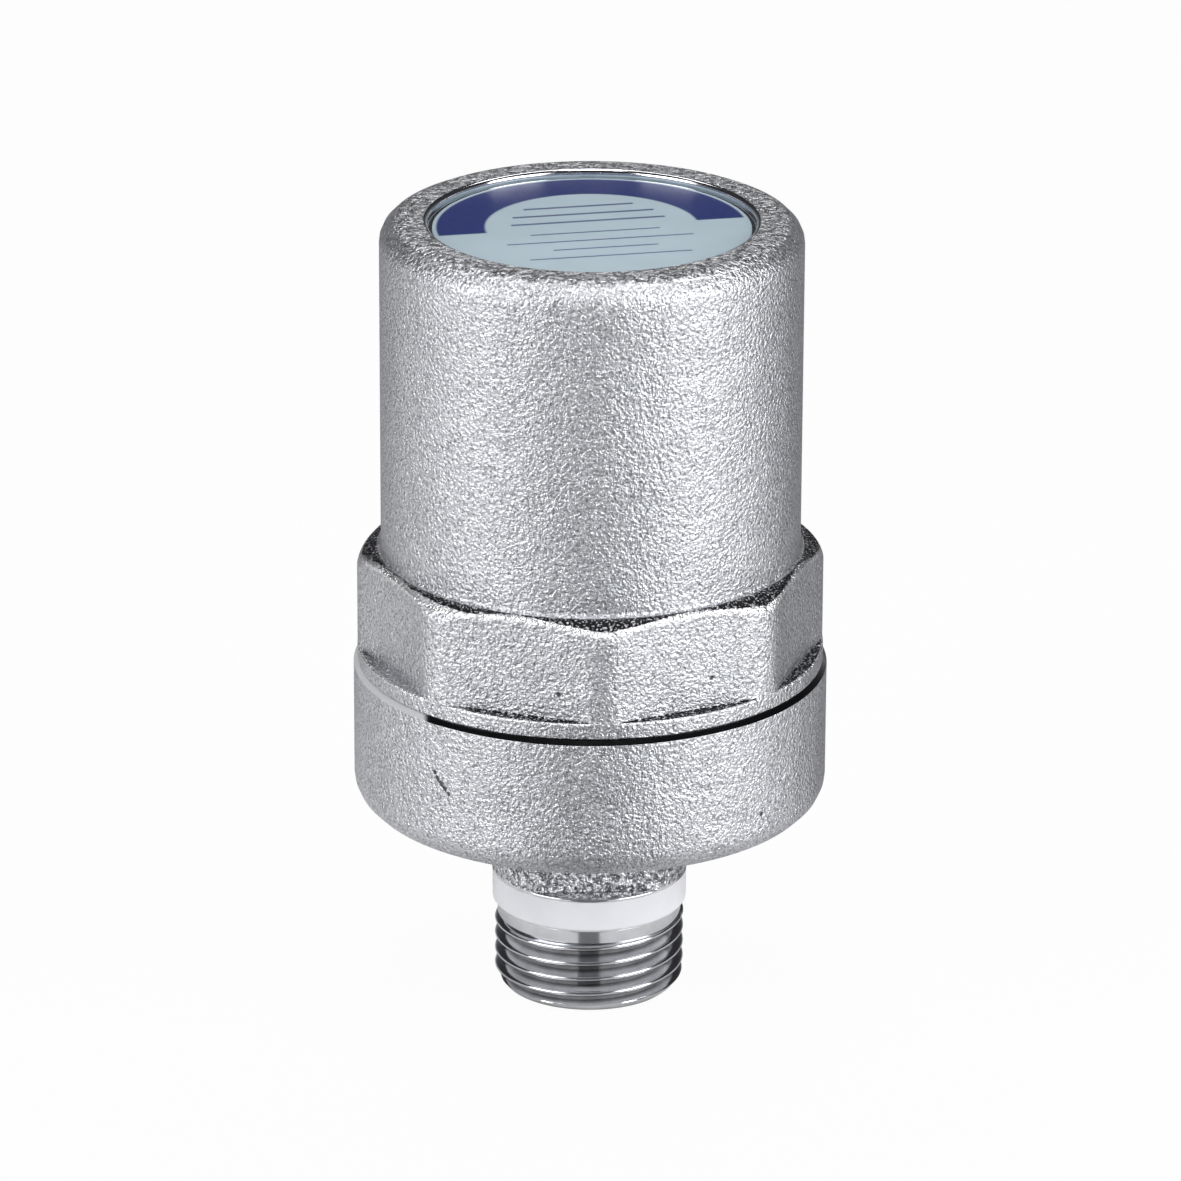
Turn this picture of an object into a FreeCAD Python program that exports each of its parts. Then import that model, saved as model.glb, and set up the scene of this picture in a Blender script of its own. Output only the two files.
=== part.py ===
import FreeCAD, Part
import math
import os

# Water hammer arrestor: a forged and plated brass casing screwed into a base cup with a G 1/2 inlet nipple.
# A spring-loaded piston with two sealing rings slides in the casing's bore.
# Lengths are in millimetres. The origin is on the axis at the nipple's end face, +Z points up to the label.

# Cylinder bore, the size that the casing, the cup and the piston are built around
BORE_DIAMETER = 39.0
BORE_LEAD_RUN = 0.45
BORE_LEAD_RISE = 1.2

# Inlet nipple
THREAD_DIAMETER = 20.955
THREAD_LENGTH = 8.2
THREAD_END_CHAMFER_RUN = 1.0
THREAD_END_CHAMFER_RISE = 1.2
LAND_DEPTH = 0.28
LAND_LENGTH = 1.55
SEAL_GROOVE_DEPTH = 1.18
INLET_BORE_DIAMETER = 11.0
INLET_BORE_CHAMFER = 0.6
INLET_MOUTH_DIAMETER = 18.4

# Sealing ring on the nipple
SEAL_RING_HEIGHT = 3.65
SEAL_RING_OVERHANG = 0.27
SEAL_RING_CHAMFER = 0.35
SEAL_RING_BORE_CLEARANCE = 0.05

# Neck with two wrench flats
NECK_DIAMETER = 21.6
NECK_LENGTH = 8.9
NECK_FLATS_WIDTH = 16.4
NECK_LEDGE = 0.35
NECK_FILLET = 2.0
NECK_TURN = 5.0

# Base cup
CUP_WALL = 3.05
CUP_HEIGHT = 16.3
CUP_CORNER_RADIUS = 3.0
CUP_FLOOR = 3.4
CUP_RIM_CHAMFER = 0.5
CUP_LOWER_BORE_HEIGHT = 3.7

# Screwed joint between casing and cup
THREAD_CLEARANCE = 0.15
SPIGOT_NOSE_GAP = 0.3
SPIGOT_NOSE_WALL = 1.4
SPIGOT_NOSE_CHAMFER = 0.45
SPIGOT_THREAD_RELIEF = 0.8
BODY_RING_SECTION = 2.0
RING_GLAND_CLEARANCE = 0.05

# Collar and wrench section of the casing
COLLAR_SETBACK = 0.45
COLLAR_HEIGHT = 1.8
WRENCH_SIDES = 8
WRENCH_FLAT_OFFSET = 1.07
WRENCH_HEIGHT = 11.2
WRENCH_CORNER_RADIUS = 2.2
WRENCH_EDGE_RADIUS = 0.8
WRENCH_CORNER_TURN = 3.8

# Cylinder and top of the casing
CASING_WALL = 3.43
CASING_HEIGHT = 37.1
CASING_FOOT_FLARE = 0.4
CASING_TOP_WALL = 4.0
SHOULDER_RADIUS = 2.9
LABEL_RIM_WIDTH = 5.23
LABEL_RECESS_DEPTH = 1.1
LABEL_CLEARANCE = 0.5
LABEL_THICKNESS = 0.25

# Piston
PISTON_HEIGHT = 15.0
PISTON_CLEARANCE = 0.3
PISTON_EDGE_CHAMFER = 0.7
PISTON_STOP_RIM = 3.8
PISTON_POCKET_DEPTH = 3.0
PISTON_CROWN_DEPTH = 5.5
PISTON_CROWN_WALL = 2.55
PISTON_CORE_DIAMETER = 14.0
PISTON_CORE_DEPTH = 6.0
PISTON_RING_NAMES = ("lower", "upper")
PISTON_RING_SECTION = 2.62
PISTON_RING_CLEARANCE = 0.08
PISTON_GROOVE_SIDE_PLAY = 0.25
PISTON_GROOVE_EDGE = 3.2
PISTON_GROOVE_SPACING = 5.2

# Spring, its guides and its seat washer
SPRING_WIRE = 2.4
SPRING_ACTIVE_TURNS = 4.5
SPRING_END_TURNS = 1.0
SPRING_END_PITCH = 2.6
SPRING_END_TIP = 0.8
SPRING_CROWN_CLEARANCE = 0.6
SPRING_GUIDE_CLEARANCE = 0.4
SPRING_GUIDE_HEIGHT = 4.0
GUIDE_CHAMFER = 0.8
WASHER_THICKNESS = 1.0
WASHER_CLEARANCE = 0.3

# Flat sides that stand for the round section of a sealing ring or a wire
SECTION_SIDES = 8

# Heights that follow from the sizes above
SEAL_SEAT_Z = THREAD_LENGTH + LAND_LENGTH
NECK_Z = SEAL_SEAT_Z + SEAL_RING_HEIGHT
CUP_Z = NECK_Z + NECK_LENGTH
FLOOR_Z = CUP_Z + CUP_FLOOR
RIM_Z = CUP_Z + CUP_HEIGHT
RING_SEAT_Z = FLOOR_Z + CUP_LOWER_BORE_HEIGHT
WRENCH_Z = RIM_Z + COLLAR_HEIGHT
LEDGE_Z = WRENCH_Z + WRENCH_HEIGHT
TOP_Z = LEDGE_Z + CASING_HEIGHT
LABEL_Z = TOP_Z - LABEL_RECESS_DEPTH
BORE_TOP_Z = LABEL_Z - CASING_TOP_WALL
POCKET_Z = FLOOR_Z + PISTON_HEIGHT - PISTON_CROWN_DEPTH
SPRING_FOOT_Z = POCKET_Z + WASHER_THICKNESS

# Radii of the casing and the cup, from the bore outwards
BORE_R = BORE_DIAMETER / 2
CASING_R = BORE_R + CASING_WALL
WRENCH_FLAT_R = CASING_R + WRENCH_FLAT_OFFSET
LABEL_RECESS_R = CASING_R - LABEL_RIM_WIDTH
LABEL_R = LABEL_RECESS_R - LABEL_CLEARANCE
NOSE_R = BORE_R + SPIGOT_NOSE_WALL
SOCKET_R = NOSE_R + BODY_RING_SECTION + RING_GLAND_CLEARANCE
CUP_R = SOCKET_R + CUP_WALL
COLLAR_R = CUP_R - COLLAR_SETBACK

# Radii of the nipple, from the thread
THREAD_R = THREAD_DIAMETER / 2
LAND_R = THREAD_R - LAND_DEPTH
SEAL_GROOVE_R = THREAD_R - SEAL_GROOVE_DEPTH
SEAL_RING_R = THREAD_R + SEAL_RING_OVERHANG

# Radii of the piston and the spring, from the bore inwards
PISTON_R = BORE_R - PISTON_CLEARANCE
PISTON_RING_R = BORE_R - PISTON_RING_CLEARANCE - PISTON_RING_SECTION / 2
GROOVE_FLOOR_R = PISTON_RING_R - PISTON_RING_SECTION / 2 - RING_GLAND_CLEARANCE
GROOVE_HEIGHT = PISTON_RING_SECTION + 2 * PISTON_GROOVE_SIDE_PLAY
CROWN_R = GROOVE_FLOOR_R - PISTON_CROWN_WALL
SPRING_OUTER_R = CROWN_R - SPRING_CROWN_CLEARANCE
SPRING_R = SPRING_OUTER_R - SPRING_WIRE / 2
GUIDE_R = SPRING_R - SPRING_WIRE / 2 - SPRING_GUIDE_CLEARANCE

AXIS = FreeCAD.Vector(0, 0, 1)
CENTRE = FreeCAD.Vector(0, 0, 0)
FULL_TURN = 360.0


def point(radius, height):
    return FreeCAD.Vector(radius, 0, height)


def line(start, end):
    return Part.LineSegment(point(*start), point(*end)).toShape()


def chain(points):
    """Straight edges through a list of (radius, height) points."""
    return [line(a, b) for a, b in zip(points, points[1:])]


def arc(start, middle, end):
    return Part.Arc(point(*start), point(*middle), point(*end)).toShape()


def quarter(centre, radius, first_degrees, last_degrees):
    """A circular corner about centre, from one angle to the other, 0 being outwards and 90 up."""
    angles = (first_degrees, (first_degrees + last_degrees) / 2, last_degrees)
    spots = []
    for angle in angles:
        turn = math.radians(angle)
        spots.append((centre[0] + radius * math.cos(turn), centre[1] + radius * math.sin(turn)))
    return arc(*spots)


def turned(edges):
    """The solid turned from a closed outline of edges in the plane of the axis."""
    wire = Part.Wire(Part.__sortEdges__(edges))
    return Part.Face(wire).revolve(CENTRE, AXIS, FULL_TURN)


def turned_outline(points):
    return turned(chain(points + points[:1]))


def ring_cut(inner_radius, outer_radius, low, high):
    return turned_outline([(inner_radius, low), (outer_radius, low),
                           (outer_radius, high), (inner_radius, high)])


def cylinder(radius, low, high):
    return Part.makeCylinder(radius, high - low, FreeCAD.Vector(0, 0, low))


def round_section(radius, height, section):
    """The corners of a round wire or ring section, drawn with a few flat sides, in the plane of the axis."""
    angles = [math.pi * (2 * index + 1) / SECTION_SIDES for index in range(SECTION_SIDES)]
    return [(radius + section / 2 * math.cos(a), height + section / 2 * math.sin(a)) for a in angles]


def o_ring(mean_radius, section, height):
    return turned_outline(round_section(mean_radius, height, section))


def wrench_prism():
    """The regular prism whose flats take the wrench, rounded along its top edges."""
    corner_r = WRENCH_FLAT_R / math.cos(math.pi / WRENCH_SIDES)
    step = FULL_TURN / WRENCH_SIDES
    corners = []
    for index in range(WRENCH_SIDES + 1):
        angle = math.radians(WRENCH_CORNER_TURN - 90 + index * step)
        corners.append(FreeCAD.Vector(corner_r * math.cos(angle), corner_r * math.sin(angle), WRENCH_Z))
    prism = Part.Face(Part.makePolygon(corners)).extrude(AXIS * WRENCH_HEIGHT)
    top_edges = [edge for edge in prism.Edges if edge.BoundBox.ZMin > LEDGE_Z - WRENCH_EDGE_RADIUS]
    return prism.makeFillet(WRENCH_EDGE_RADIUS, top_edges)


def wrench_section():
    """The flats run out in the round collar below, and their corners in a turned and rounded edge above."""
    corner = WRENCH_CORNER_RADIUS
    sides = chain([(COLLAR_R, LEDGE_Z - corner), (COLLAR_R, WRENCH_Z), (0, WRENCH_Z), (0, LEDGE_Z),
                   (COLLAR_R - corner, LEDGE_Z)])
    blank = turned(sides + [quarter((COLLAR_R - corner, LEDGE_Z - corner), corner, 90, 0)])
    return blank.common(wrench_prism())


def casing_cylinder():
    """The long cylinder, with a small flare at its foot and a round shoulder at the top."""
    foot = CASING_FOOT_FLARE
    shoulder = SHOULDER_RADIUS
    outline = chain([(CASING_R, TOP_Z - shoulder), (CASING_R, LEDGE_Z + foot), (CASING_R + foot, LEDGE_Z),
                     (0, LEDGE_Z), (0, TOP_Z), (CASING_R - shoulder, TOP_Z)])
    return turned(outline + [quarter((CASING_R - shoulder, TOP_Z - shoulder), shoulder, 90, 0)])


def spigot():
    """The part of the casing that screws into the cup: threaded length, gland step and nose."""
    thread_r = SOCKET_R - THREAD_CLEARANCE
    gland_top = RING_SEAT_Z + BODY_RING_SECTION + RING_GLAND_CLEARANCE
    relief = SPIGOT_THREAD_RELIEF
    chamfer = SPIGOT_NOSE_CHAMFER
    nose_z = FLOOR_Z + SPIGOT_NOSE_GAP
    return turned_outline([(0, nose_z), (NOSE_R - chamfer, nose_z), (NOSE_R, nose_z + chamfer),
                           (NOSE_R, gland_top), (thread_r - relief, gland_top),
                           (thread_r, gland_top + relief), (thread_r, RIM_Z - relief),
                           (thread_r - relief, RIM_Z - relief), (thread_r - relief, RIM_Z), (0, RIM_Z)])


def cylinder_bore():
    """The bore that the piston slides in, with a lead-in below and the spring's guide left above."""
    mouth_z = FLOOR_Z + SPIGOT_NOSE_GAP
    guide_foot = BORE_TOP_Z - SPRING_GUIDE_HEIGHT
    return turned_outline([(0, mouth_z), (BORE_R + BORE_LEAD_RUN, mouth_z),
                           (BORE_R, mouth_z + BORE_LEAD_RISE), (BORE_R, BORE_TOP_Z),
                           (GUIDE_R, BORE_TOP_Z), (GUIDE_R, guide_foot + GUIDE_CHAMFER),
                           (GUIDE_R - GUIDE_CHAMFER, guide_foot), (0, guide_foot)])


def make_upper_casing():
    collar = cylinder(COLLAR_R, RIM_Z, WRENCH_Z)
    label_recess = cylinder(LABEL_RECESS_R, LABEL_Z, TOP_Z)
    outside = collar.fuse([wrench_section(), casing_cylinder(), spigot()])
    return outside.cut([cylinder_bore(), label_recess]).removeSplitter()


def cup_outside():
    """Nipple, seal groove, neck and cup as one turned outline."""
    neck_r = NECK_DIAMETER / 2
    corner = CUP_CORNER_RADIUS
    fillet = NECK_FILLET
    nipple = chain([(0, 0), (THREAD_R - THREAD_END_CHAMFER_RUN, 0), (THREAD_R, THREAD_END_CHAMFER_RISE),
                    (THREAD_R, THREAD_LENGTH), (LAND_R, THREAD_LENGTH), (LAND_R, SEAL_SEAT_Z),
                    (SEAL_GROOVE_R, SEAL_SEAT_Z), (SEAL_GROOVE_R, NECK_Z), (neck_r, NECK_Z),
                    (neck_r, CUP_Z - fillet)])
    neck_fillet = quarter((neck_r + fillet, CUP_Z - fillet), fillet, 180, 90)
    underside = chain([(neck_r + fillet, CUP_Z), (CUP_R - corner, CUP_Z)])
    cup_corner = quarter((CUP_R - corner, CUP_Z + corner), corner, 270, 360)
    wall = chain([(CUP_R, CUP_Z + corner), (CUP_R, RIM_Z - CUP_RIM_CHAMFER),
                  (CUP_R - CUP_RIM_CHAMFER, RIM_Z), (0, RIM_Z), (0, 0)])
    return turned(nipple + [neck_fillet] + underside + [cup_corner] + wall)


def cup_inside():
    """The inlet bore with its flared mouth, the lower bore, the ring seat and the threaded socket."""
    bore_r = INLET_BORE_DIAMETER / 2
    mouth_r = INLET_MOUTH_DIAMETER / 2
    lower_r = NOSE_R + THREAD_CLEARANCE
    chamfer = INLET_BORE_CHAMFER
    return turned_outline([(0, 0), (bore_r + chamfer, 0), (bore_r, chamfer),
                           (bore_r, FLOOR_Z + bore_r - mouth_r), (mouth_r, FLOOR_Z), (lower_r, FLOOR_Z),
                           (lower_r, RING_SEAT_Z), (SOCKET_R, RING_SEAT_Z), (SOCKET_R, RIM_Z),
                           (0, RIM_Z)])


def neck_flats():
    """Two blocks that leave the neck's parallel wrench flats, above a thin round ledge."""
    reach = CUP_R
    half = NECK_FLATS_WIDTH / 2
    low = NECK_Z + NECK_LEDGE
    blocks = []
    for start in (half, -half - reach):
        block = Part.makeBox(2 * reach, reach, CUP_Z - low, FreeCAD.Vector(-reach, start, low))
        block.rotate(CENTRE, AXIS, NECK_TURN)
        blocks.append(block)
    return blocks


def make_base_cup():
    return cup_outside().cut([cup_inside()] + neck_flats()).removeSplitter()


def make_thread_seal_ring():
    inner = SEAL_GROOVE_R + SEAL_RING_BORE_CLEARANCE
    chamfer = SEAL_RING_CHAMFER
    return turned_outline([(inner, SEAL_SEAT_Z), (SEAL_RING_R - chamfer, SEAL_SEAT_Z),
                           (SEAL_RING_R, SEAL_SEAT_Z + chamfer), (SEAL_RING_R, NECK_Z), (inner, NECK_Z)])


def make_casing_o_ring():
    offset = (BODY_RING_SECTION + RING_GLAND_CLEARANCE) / 2
    return o_ring(NOSE_R + offset, BODY_RING_SECTION, RING_SEAT_Z + offset)


def make_label_disc():
    return cylinder(LABEL_R, LABEL_Z, LABEL_Z + LABEL_THICKNESS)


def groove_height(index):
    """The height of a piston ring's middle, counted from the lower ring."""
    return FLOOR_Z + PISTON_GROOVE_EDGE + GROOVE_HEIGHT / 2 + index * PISTON_GROOVE_SPACING


def piston_blank():
    """The piston without its grooves: a stop rim, a crown pocket for the spring and a cored guide boss."""
    low = FLOOR_Z
    high = FLOOR_Z + PISTON_HEIGHT
    edge = PISTON_EDGE_CHAMFER
    water_r = PISTON_R - PISTON_STOP_RIM
    core_r = PISTON_CORE_DIAMETER / 2
    return turned_outline([(0, low + PISTON_POCKET_DEPTH), (water_r, low + PISTON_POCKET_DEPTH),
                           (water_r, low), (PISTON_R - edge, low), (PISTON_R, low + edge),
                           (PISTON_R, high - edge), (PISTON_R - edge, high), (CROWN_R, high),
                           (CROWN_R, POCKET_Z), (GUIDE_R, POCKET_Z), (GUIDE_R, high - GUIDE_CHAMFER),
                           (GUIDE_R - GUIDE_CHAMFER, high), (core_r, high),
                           (core_r, high - PISTON_CORE_DEPTH), (0, high - PISTON_CORE_DEPTH)])


def make_piston():
    grooves = []
    for index in range(len(PISTON_RING_NAMES)):
        low = groove_height(index) - GROOVE_HEIGHT / 2
        grooves.append(ring_cut(GROOVE_FLOOR_R, BORE_R, low, low + GROOVE_HEIGHT))
    return piston_blank().cut(grooves)


def make_piston_o_ring(index):
    return o_ring(PISTON_RING_R, PISTON_RING_SECTION, groove_height(index))


def make_spring_washer():
    return ring_cut(GUIDE_R + WASHER_CLEARANCE, CROWN_R - WASHER_CLEARANCE, POCKET_Z, SPRING_FOOT_Z)


def helix(pitch, turns, height, turned_by):
    coil = Part.makeHelix(pitch, pitch * turns, SPRING_R)
    coil.rotate(CENTRE, AXIS, FULL_TURN * turned_by)
    coil.translate(AXIS * height)
    return coil.Edges


def make_spring():
    """A compression spring with one closed turn at each end, ground flat to its seats."""
    start = SPRING_FOOT_Z + SPRING_END_TIP - SPRING_WIRE / 2
    finish = BORE_TOP_Z - SPRING_END_TIP + SPRING_WIRE / 2
    end_rise = SPRING_END_PITCH * SPRING_END_TURNS
    pitch = (finish - start - 2 * end_rise) / SPRING_ACTIVE_TURNS
    edges = helix(SPRING_END_PITCH, SPRING_END_TURNS, start, 0)
    edges += helix(pitch, SPRING_ACTIVE_TURNS, start + end_rise, SPRING_END_TURNS)
    edges += helix(SPRING_END_PITCH, SPRING_END_TURNS, finish - end_rise,
                   SPRING_END_TURNS + SPRING_ACTIVE_TURNS)
    corners = round_section(SPRING_R, start, SPRING_WIRE)
    section = Part.Wire(chain(corners + corners[:1]))
    sweep = Part.BRepOffsetAPI.MakePipeShell(Part.Wire(edges))
    sweep.setBiNormalMode(AXIS)
    sweep.add(section)
    sweep.build()
    sweep.makeSolid()
    reach = SPRING_OUTER_R + SPRING_WIRE
    return sweep.shape().common(cylinder(reach, SPRING_FOOT_Z, BORE_TOP_Z))


def main():
    os.makedirs("parts", exist_ok=True)
    nodes = {
        "upper_casing": make_upper_casing(),
        "base_cup": make_base_cup(),
        "thread_seal_ring": make_thread_seal_ring(),
        "casing_o_ring": make_casing_o_ring(),
        "label_disc": make_label_disc(),
        "piston": make_piston(),
        "spring_washer": make_spring_washer(),
        "spring": make_spring(),
    }
    for index, name in enumerate(PISTON_RING_NAMES):
        nodes["piston_o_ring_" + name] = make_piston_o_ring(index)
    for name, shape in nodes.items():
        print(name, "valid" if shape.isValid() else "not valid", round(shape.Volume), "cubic mm")
        shape.exportStep(f"parts/{name}.step")


main()
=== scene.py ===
import sys
import logging
import math
from dataclasses import dataclass
from enum import Enum
from typing import Callable, Sequence

import bpy
import numpy as np
from mathutils import Matrix


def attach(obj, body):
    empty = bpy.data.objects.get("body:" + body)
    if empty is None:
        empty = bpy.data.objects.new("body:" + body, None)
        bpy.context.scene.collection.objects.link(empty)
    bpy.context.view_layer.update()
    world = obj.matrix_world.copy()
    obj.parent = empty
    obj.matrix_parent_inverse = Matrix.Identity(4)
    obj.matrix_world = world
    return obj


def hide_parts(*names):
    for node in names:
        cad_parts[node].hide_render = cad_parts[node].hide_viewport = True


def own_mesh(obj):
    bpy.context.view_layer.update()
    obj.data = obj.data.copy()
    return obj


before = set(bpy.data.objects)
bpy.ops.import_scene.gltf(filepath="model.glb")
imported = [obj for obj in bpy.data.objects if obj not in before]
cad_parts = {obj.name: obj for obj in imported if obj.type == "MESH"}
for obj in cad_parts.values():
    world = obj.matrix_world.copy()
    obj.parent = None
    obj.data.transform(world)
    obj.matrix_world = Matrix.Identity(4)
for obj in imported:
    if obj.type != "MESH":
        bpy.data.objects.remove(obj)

log = logging.getLogger("arrestor")

MM = 0.001
Colour = tuple[float, float, float]
Point = tuple[float, float]
Outline = list[Point]

# Roundings of edges and inner corners, in millimetres, from the sharpest to the softest
CRISP, FINE, SOFT, EASY, DEEP = 0.05, 0.1, 0.12, 0.2, 0.3

# The angle in degrees from which an edge stays sharp
SHARP = 32.0

# Centres and radii of the forging's pits, in millimetres; the cup's crease is a row of them. The plating
# paints them black as shade
CASING_PITS = ((13.0, -20.3, 43.8, 0.3), (-3.4, -24.2, 43.3, 0.35))
CUP_PITS = ((18.6, -18.2, 27.2, 0.3), (-16.7, -19.95, 32.6, 0.3), (-16.4, -20.2, 32.0, 0.36),
            (-16.0, -20.5, 31.5, 0.4), (-15.6, -20.8, 31.0, 0.36), (-15.2, -21.1, 30.5, 0.3))


@dataclass(frozen=True)
class Shared:
    """Sizes that several pieces and finishes share, in millimetres and degrees."""

    thread_z: float = 8.2
    core_r: float = 9.29
    seat_z: float = 9.75
    neck_z: float = 13.4
    floor_z: float = 25.7
    ring_z: Point = (30.46, 35.66)
    crown_z: float = 35.2
    washer_z: float = 36.2
    seam_z: float = 38.6
    collar_r: float = 25.55
    wrench_z: float = 40.4
    ledge_z: float = 51.6
    facets: int = 8
    corner_turn: float = 3.8
    guide_r: float = 10.8
    guide_chamfer: float = 0.8
    bore_top_z: float = 83.6
    recess_z: float = 87.6
    top_z: float = 88.7


SHARED = Shared()


class Body(Enum):
    """The moving bodies that the pieces ride on."""

    CASING = "casing"
    PISTON = "piston"


class Slot(Enum):
    """The record's finishes."""

    CASING = "plated_casing"
    CUP = "plated_cup"
    SEAL = "white_seal"
    RUBBER = "seal_rubber"
    LABEL = "printed_label"
    PLASTIC = "piston_plastic"
    STEEL = "spring_steel"


def scaled(colour: Colour, share: float) -> Colour:
    """A share of a colour."""
    return tuple(share * part for part in colour)


# ---------------------------------------------------------------- node trees


def math_method(operation: str, number_first: bool = False) -> Callable[..., "Value"]:
    """Makes a method of Value that adds a Math node.

    Args:
        operation: The node's operation.
        number_first: Whether the method's argument is the node's first input, as in 1 - value.

    Returns:
        The method.
    """
    def method(self: "Value", *others: "Value | float") -> "Value":
        """The result of the node."""
        return self.graph.math(operation, *((*others, self) if number_first else (self, *others)))

    return method


class Value:
    """A number in a node tree. Python's operators and the named methods on it add Math nodes."""

    __add__, __radd__ = math_method("ADD"), math_method("ADD", number_first=True)
    __sub__, __rsub__ = math_method("SUBTRACT"), math_method("SUBTRACT", number_first=True)
    __mul__, __rmul__ = math_method("MULTIPLY"), math_method("MULTIPLY", number_first=True)
    __truediv__, __rtruediv__ = math_method("DIVIDE"), math_method("DIVIDE", number_first=True)
    __pow__, __abs__ = math_method("POWER"), math_method("ABSOLUTE")
    at_least, at_most = math_method("MAXIMUM"), math_method("MINIMUM")
    above, below = math_method("GREATER_THAN"), math_method("LESS_THAN")
    floor, fraction, modulo = math_method("FLOOR"), math_method("FRACT"), math_method("FLOORED_MODULO")
    root, sine, cosine, angle_over = (
        math_method("SQRT"), math_method("SINE"), math_method("COSINE"), math_method("ARCTAN2"))

    def __init__(self, graph: "Graph", socket: bpy.types.NodeSocket) -> None:
        """Wraps one output socket of a node tree."""
        self.graph = graph
        self.socket = socket

    def ramp(self, low: float, high: float) -> "Value":
        """A smooth rise from nought at low to one at high, or a fall where low is the larger."""
        made = self.graph.node("ShaderNodeMapRange", {"interpolation_type": "SMOOTHSTEP", "clamp": True},
                               {"Value": self, "From Min": low, "From Max": high})
        return Value(self.graph, made.outputs[0])


Input = "Value | bpy.types.NodeSocket | float | Sequence[float] | bpy.types.Material"


class Graph:
    """A node tree under construction, of shader or geometry nodes."""

    def __init__(self, tree: bpy.types.NodeTree) -> None:
        """Takes the tree that the nodes go into."""
        self.tree = tree

    def node(self, kind: str, settings: dict[str, object] | None = None,
             inputs: "dict[str | int, Input] | None" = None) -> bpy.types.Node:
        """Adds any node.

        Args:
            kind: The node's type name.
            settings: Its properties, set before its inputs. "stops" fills a colour ramp.
            inputs: Values or links, by socket name or place.

        Returns:
            The new node.
        """
        made = self.tree.nodes.new(kind)
        for name, value in (settings or {}).items():
            if name == "stops":
                self._fill_ramp(made, value)
            else:
                setattr(made, name, value)
        for key, value in (inputs or {}).items():
            self.feed(made.inputs[key], value)
        return made

    def feed(self, socket: bpy.types.NodeSocket, value: "Input") -> None:
        """Links or sets one input.

        Args:
            socket: The input.
            value: A wrapped number, an output socket or a constant.
        """
        if isinstance(value, Value):
            self.tree.links.new(value.socket, socket)
        elif isinstance(value, bpy.types.NodeSocket):
            self.tree.links.new(value, socket)
        elif isinstance(value, tuple) and socket.type == "RGBA":
            socket.default_value = (*value[:3], 1.0)
        else:
            socket.default_value = value

    def math(self, operation: str, *values: "Value | float") -> Value:
        """The result of a Math node."""
        made = self.node("ShaderNodeMath", {"operation": operation}, dict(enumerate(values)))
        return Value(self, made.outputs[0])

    def vector(self, operation: str, *values: "Input") -> bpy.types.NodeSocket:
        """The vector of a Vector Math node."""
        made = self.node("ShaderNodeVectorMath", {"operation": operation}, dict(enumerate(values)))
        return made.outputs[0]

    def distance(self, place: bpy.types.NodeSocket, centre: Sequence[float]) -> Value:
        """The distance of a place from a fixed point."""
        made = self.node("ShaderNodeVectorMath", {"operation": "DISTANCE"}, {0: place, 1: tuple(centre)})
        return Value(self, made.outputs["Value"])

    def axes(self, place: bpy.types.NodeSocket) -> tuple[Value, Value, Value]:
        """The three numbers of a vector."""
        split = self.node("ShaderNodeSeparateXYZ", None, {0: place})
        return tuple(Value(self, output) for output in split.outputs)

    def joined(self, x: "Value | float", y: "Value | float", z: "Value | float") -> bpy.types.NodeSocket:
        """A vector of three numbers."""
        return self.node("ShaderNodeCombineXYZ", None, {0: x, 1: y, 2: z}).outputs[0]

    def mix(self, mask: "Value | float", first: "Input", second: "Input") -> bpy.types.NodeSocket:
        """The first colour where the mask is nought, the second where it is one."""
        first_colour, second_colour, mixed_colour = 6, 7, 2
        made = self.node("ShaderNodeMix", {"data_type": "RGBA"}, {
            0: mask, first_colour: first, second_colour: second})
        return made.outputs[mixed_colour]

    @staticmethod
    def _fill_ramp(node: bpy.types.Node, stops: Sequence[tuple[float, Colour]]) -> None:
        """Sets a colour ramp's stops.

        Args:
            node: The ramp's node.
            stops: The place and colour of each.
        """
        elements = node.color_ramp.elements
        while len(elements) < len(stops):
            elements.new(1.0)
        for element, (place, colour) in zip(elements, stops):
            element.position = place
            element.color = (*colour, 1.0)


class SurfaceGraph(Graph):
    """A material's tree, with the object's coordinates at hand."""

    def __init__(self, name: str) -> None:
        """Makes the material and its surface shader.

        Args:
            name: The material's name.
        """
        self.material = bpy.data.materials.new(name)
        self.material.use_nodes = True
        super().__init__(self.material.node_tree)
        self.shader = self.tree.nodes["Principled BSDF"]
        self.place = self.node("ShaderNodeTexCoord").outputs["Object"]

    def surface(self, **inputs: "Input") -> None:
        """Sets the shader's inputs by socket name, with an underscore for each space."""
        for name, value in inputs.items():
            self.feed(self.shader.inputs[name.replace("_", " ")], value)

    def relief(self, height: Value, depth: float) -> bpy.types.NodeSocket:
        """A bumped normal, from a height of nought to one and the depth of one in metres."""
        made = self.node("ShaderNodeBump", None, {"Strength": 1.0, "Distance": depth, "Height": height})
        return made.outputs["Normal"]

    def shaded(self, mask: Value, colour: Colour, share: float) -> bpy.types.NodeSocket:
        """A colour that the mask turns into a share of itself."""
        return self.mix(mask, colour, scaled(colour, share))

    def from_axis(self) -> tuple[Value, Value]:
        """The distance from the axis and the height, in metres."""
        x, y, z = self.axes(self.place)
        return (x * x + y * y).root(), z


# ---------------------------------------------------------------- finishes


@dataclass(frozen=True)
class Mask:
    """Where and how strongly a number shows: from nought at start to share at full."""

    start: float
    full: float
    share: float = 1.0

    def of(self, value: Value) -> Value:
        """The mask of a number."""
        return value.ramp(self.start, self.full) * self.share


CLOUD = Mask(0.3, 0.7)


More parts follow.
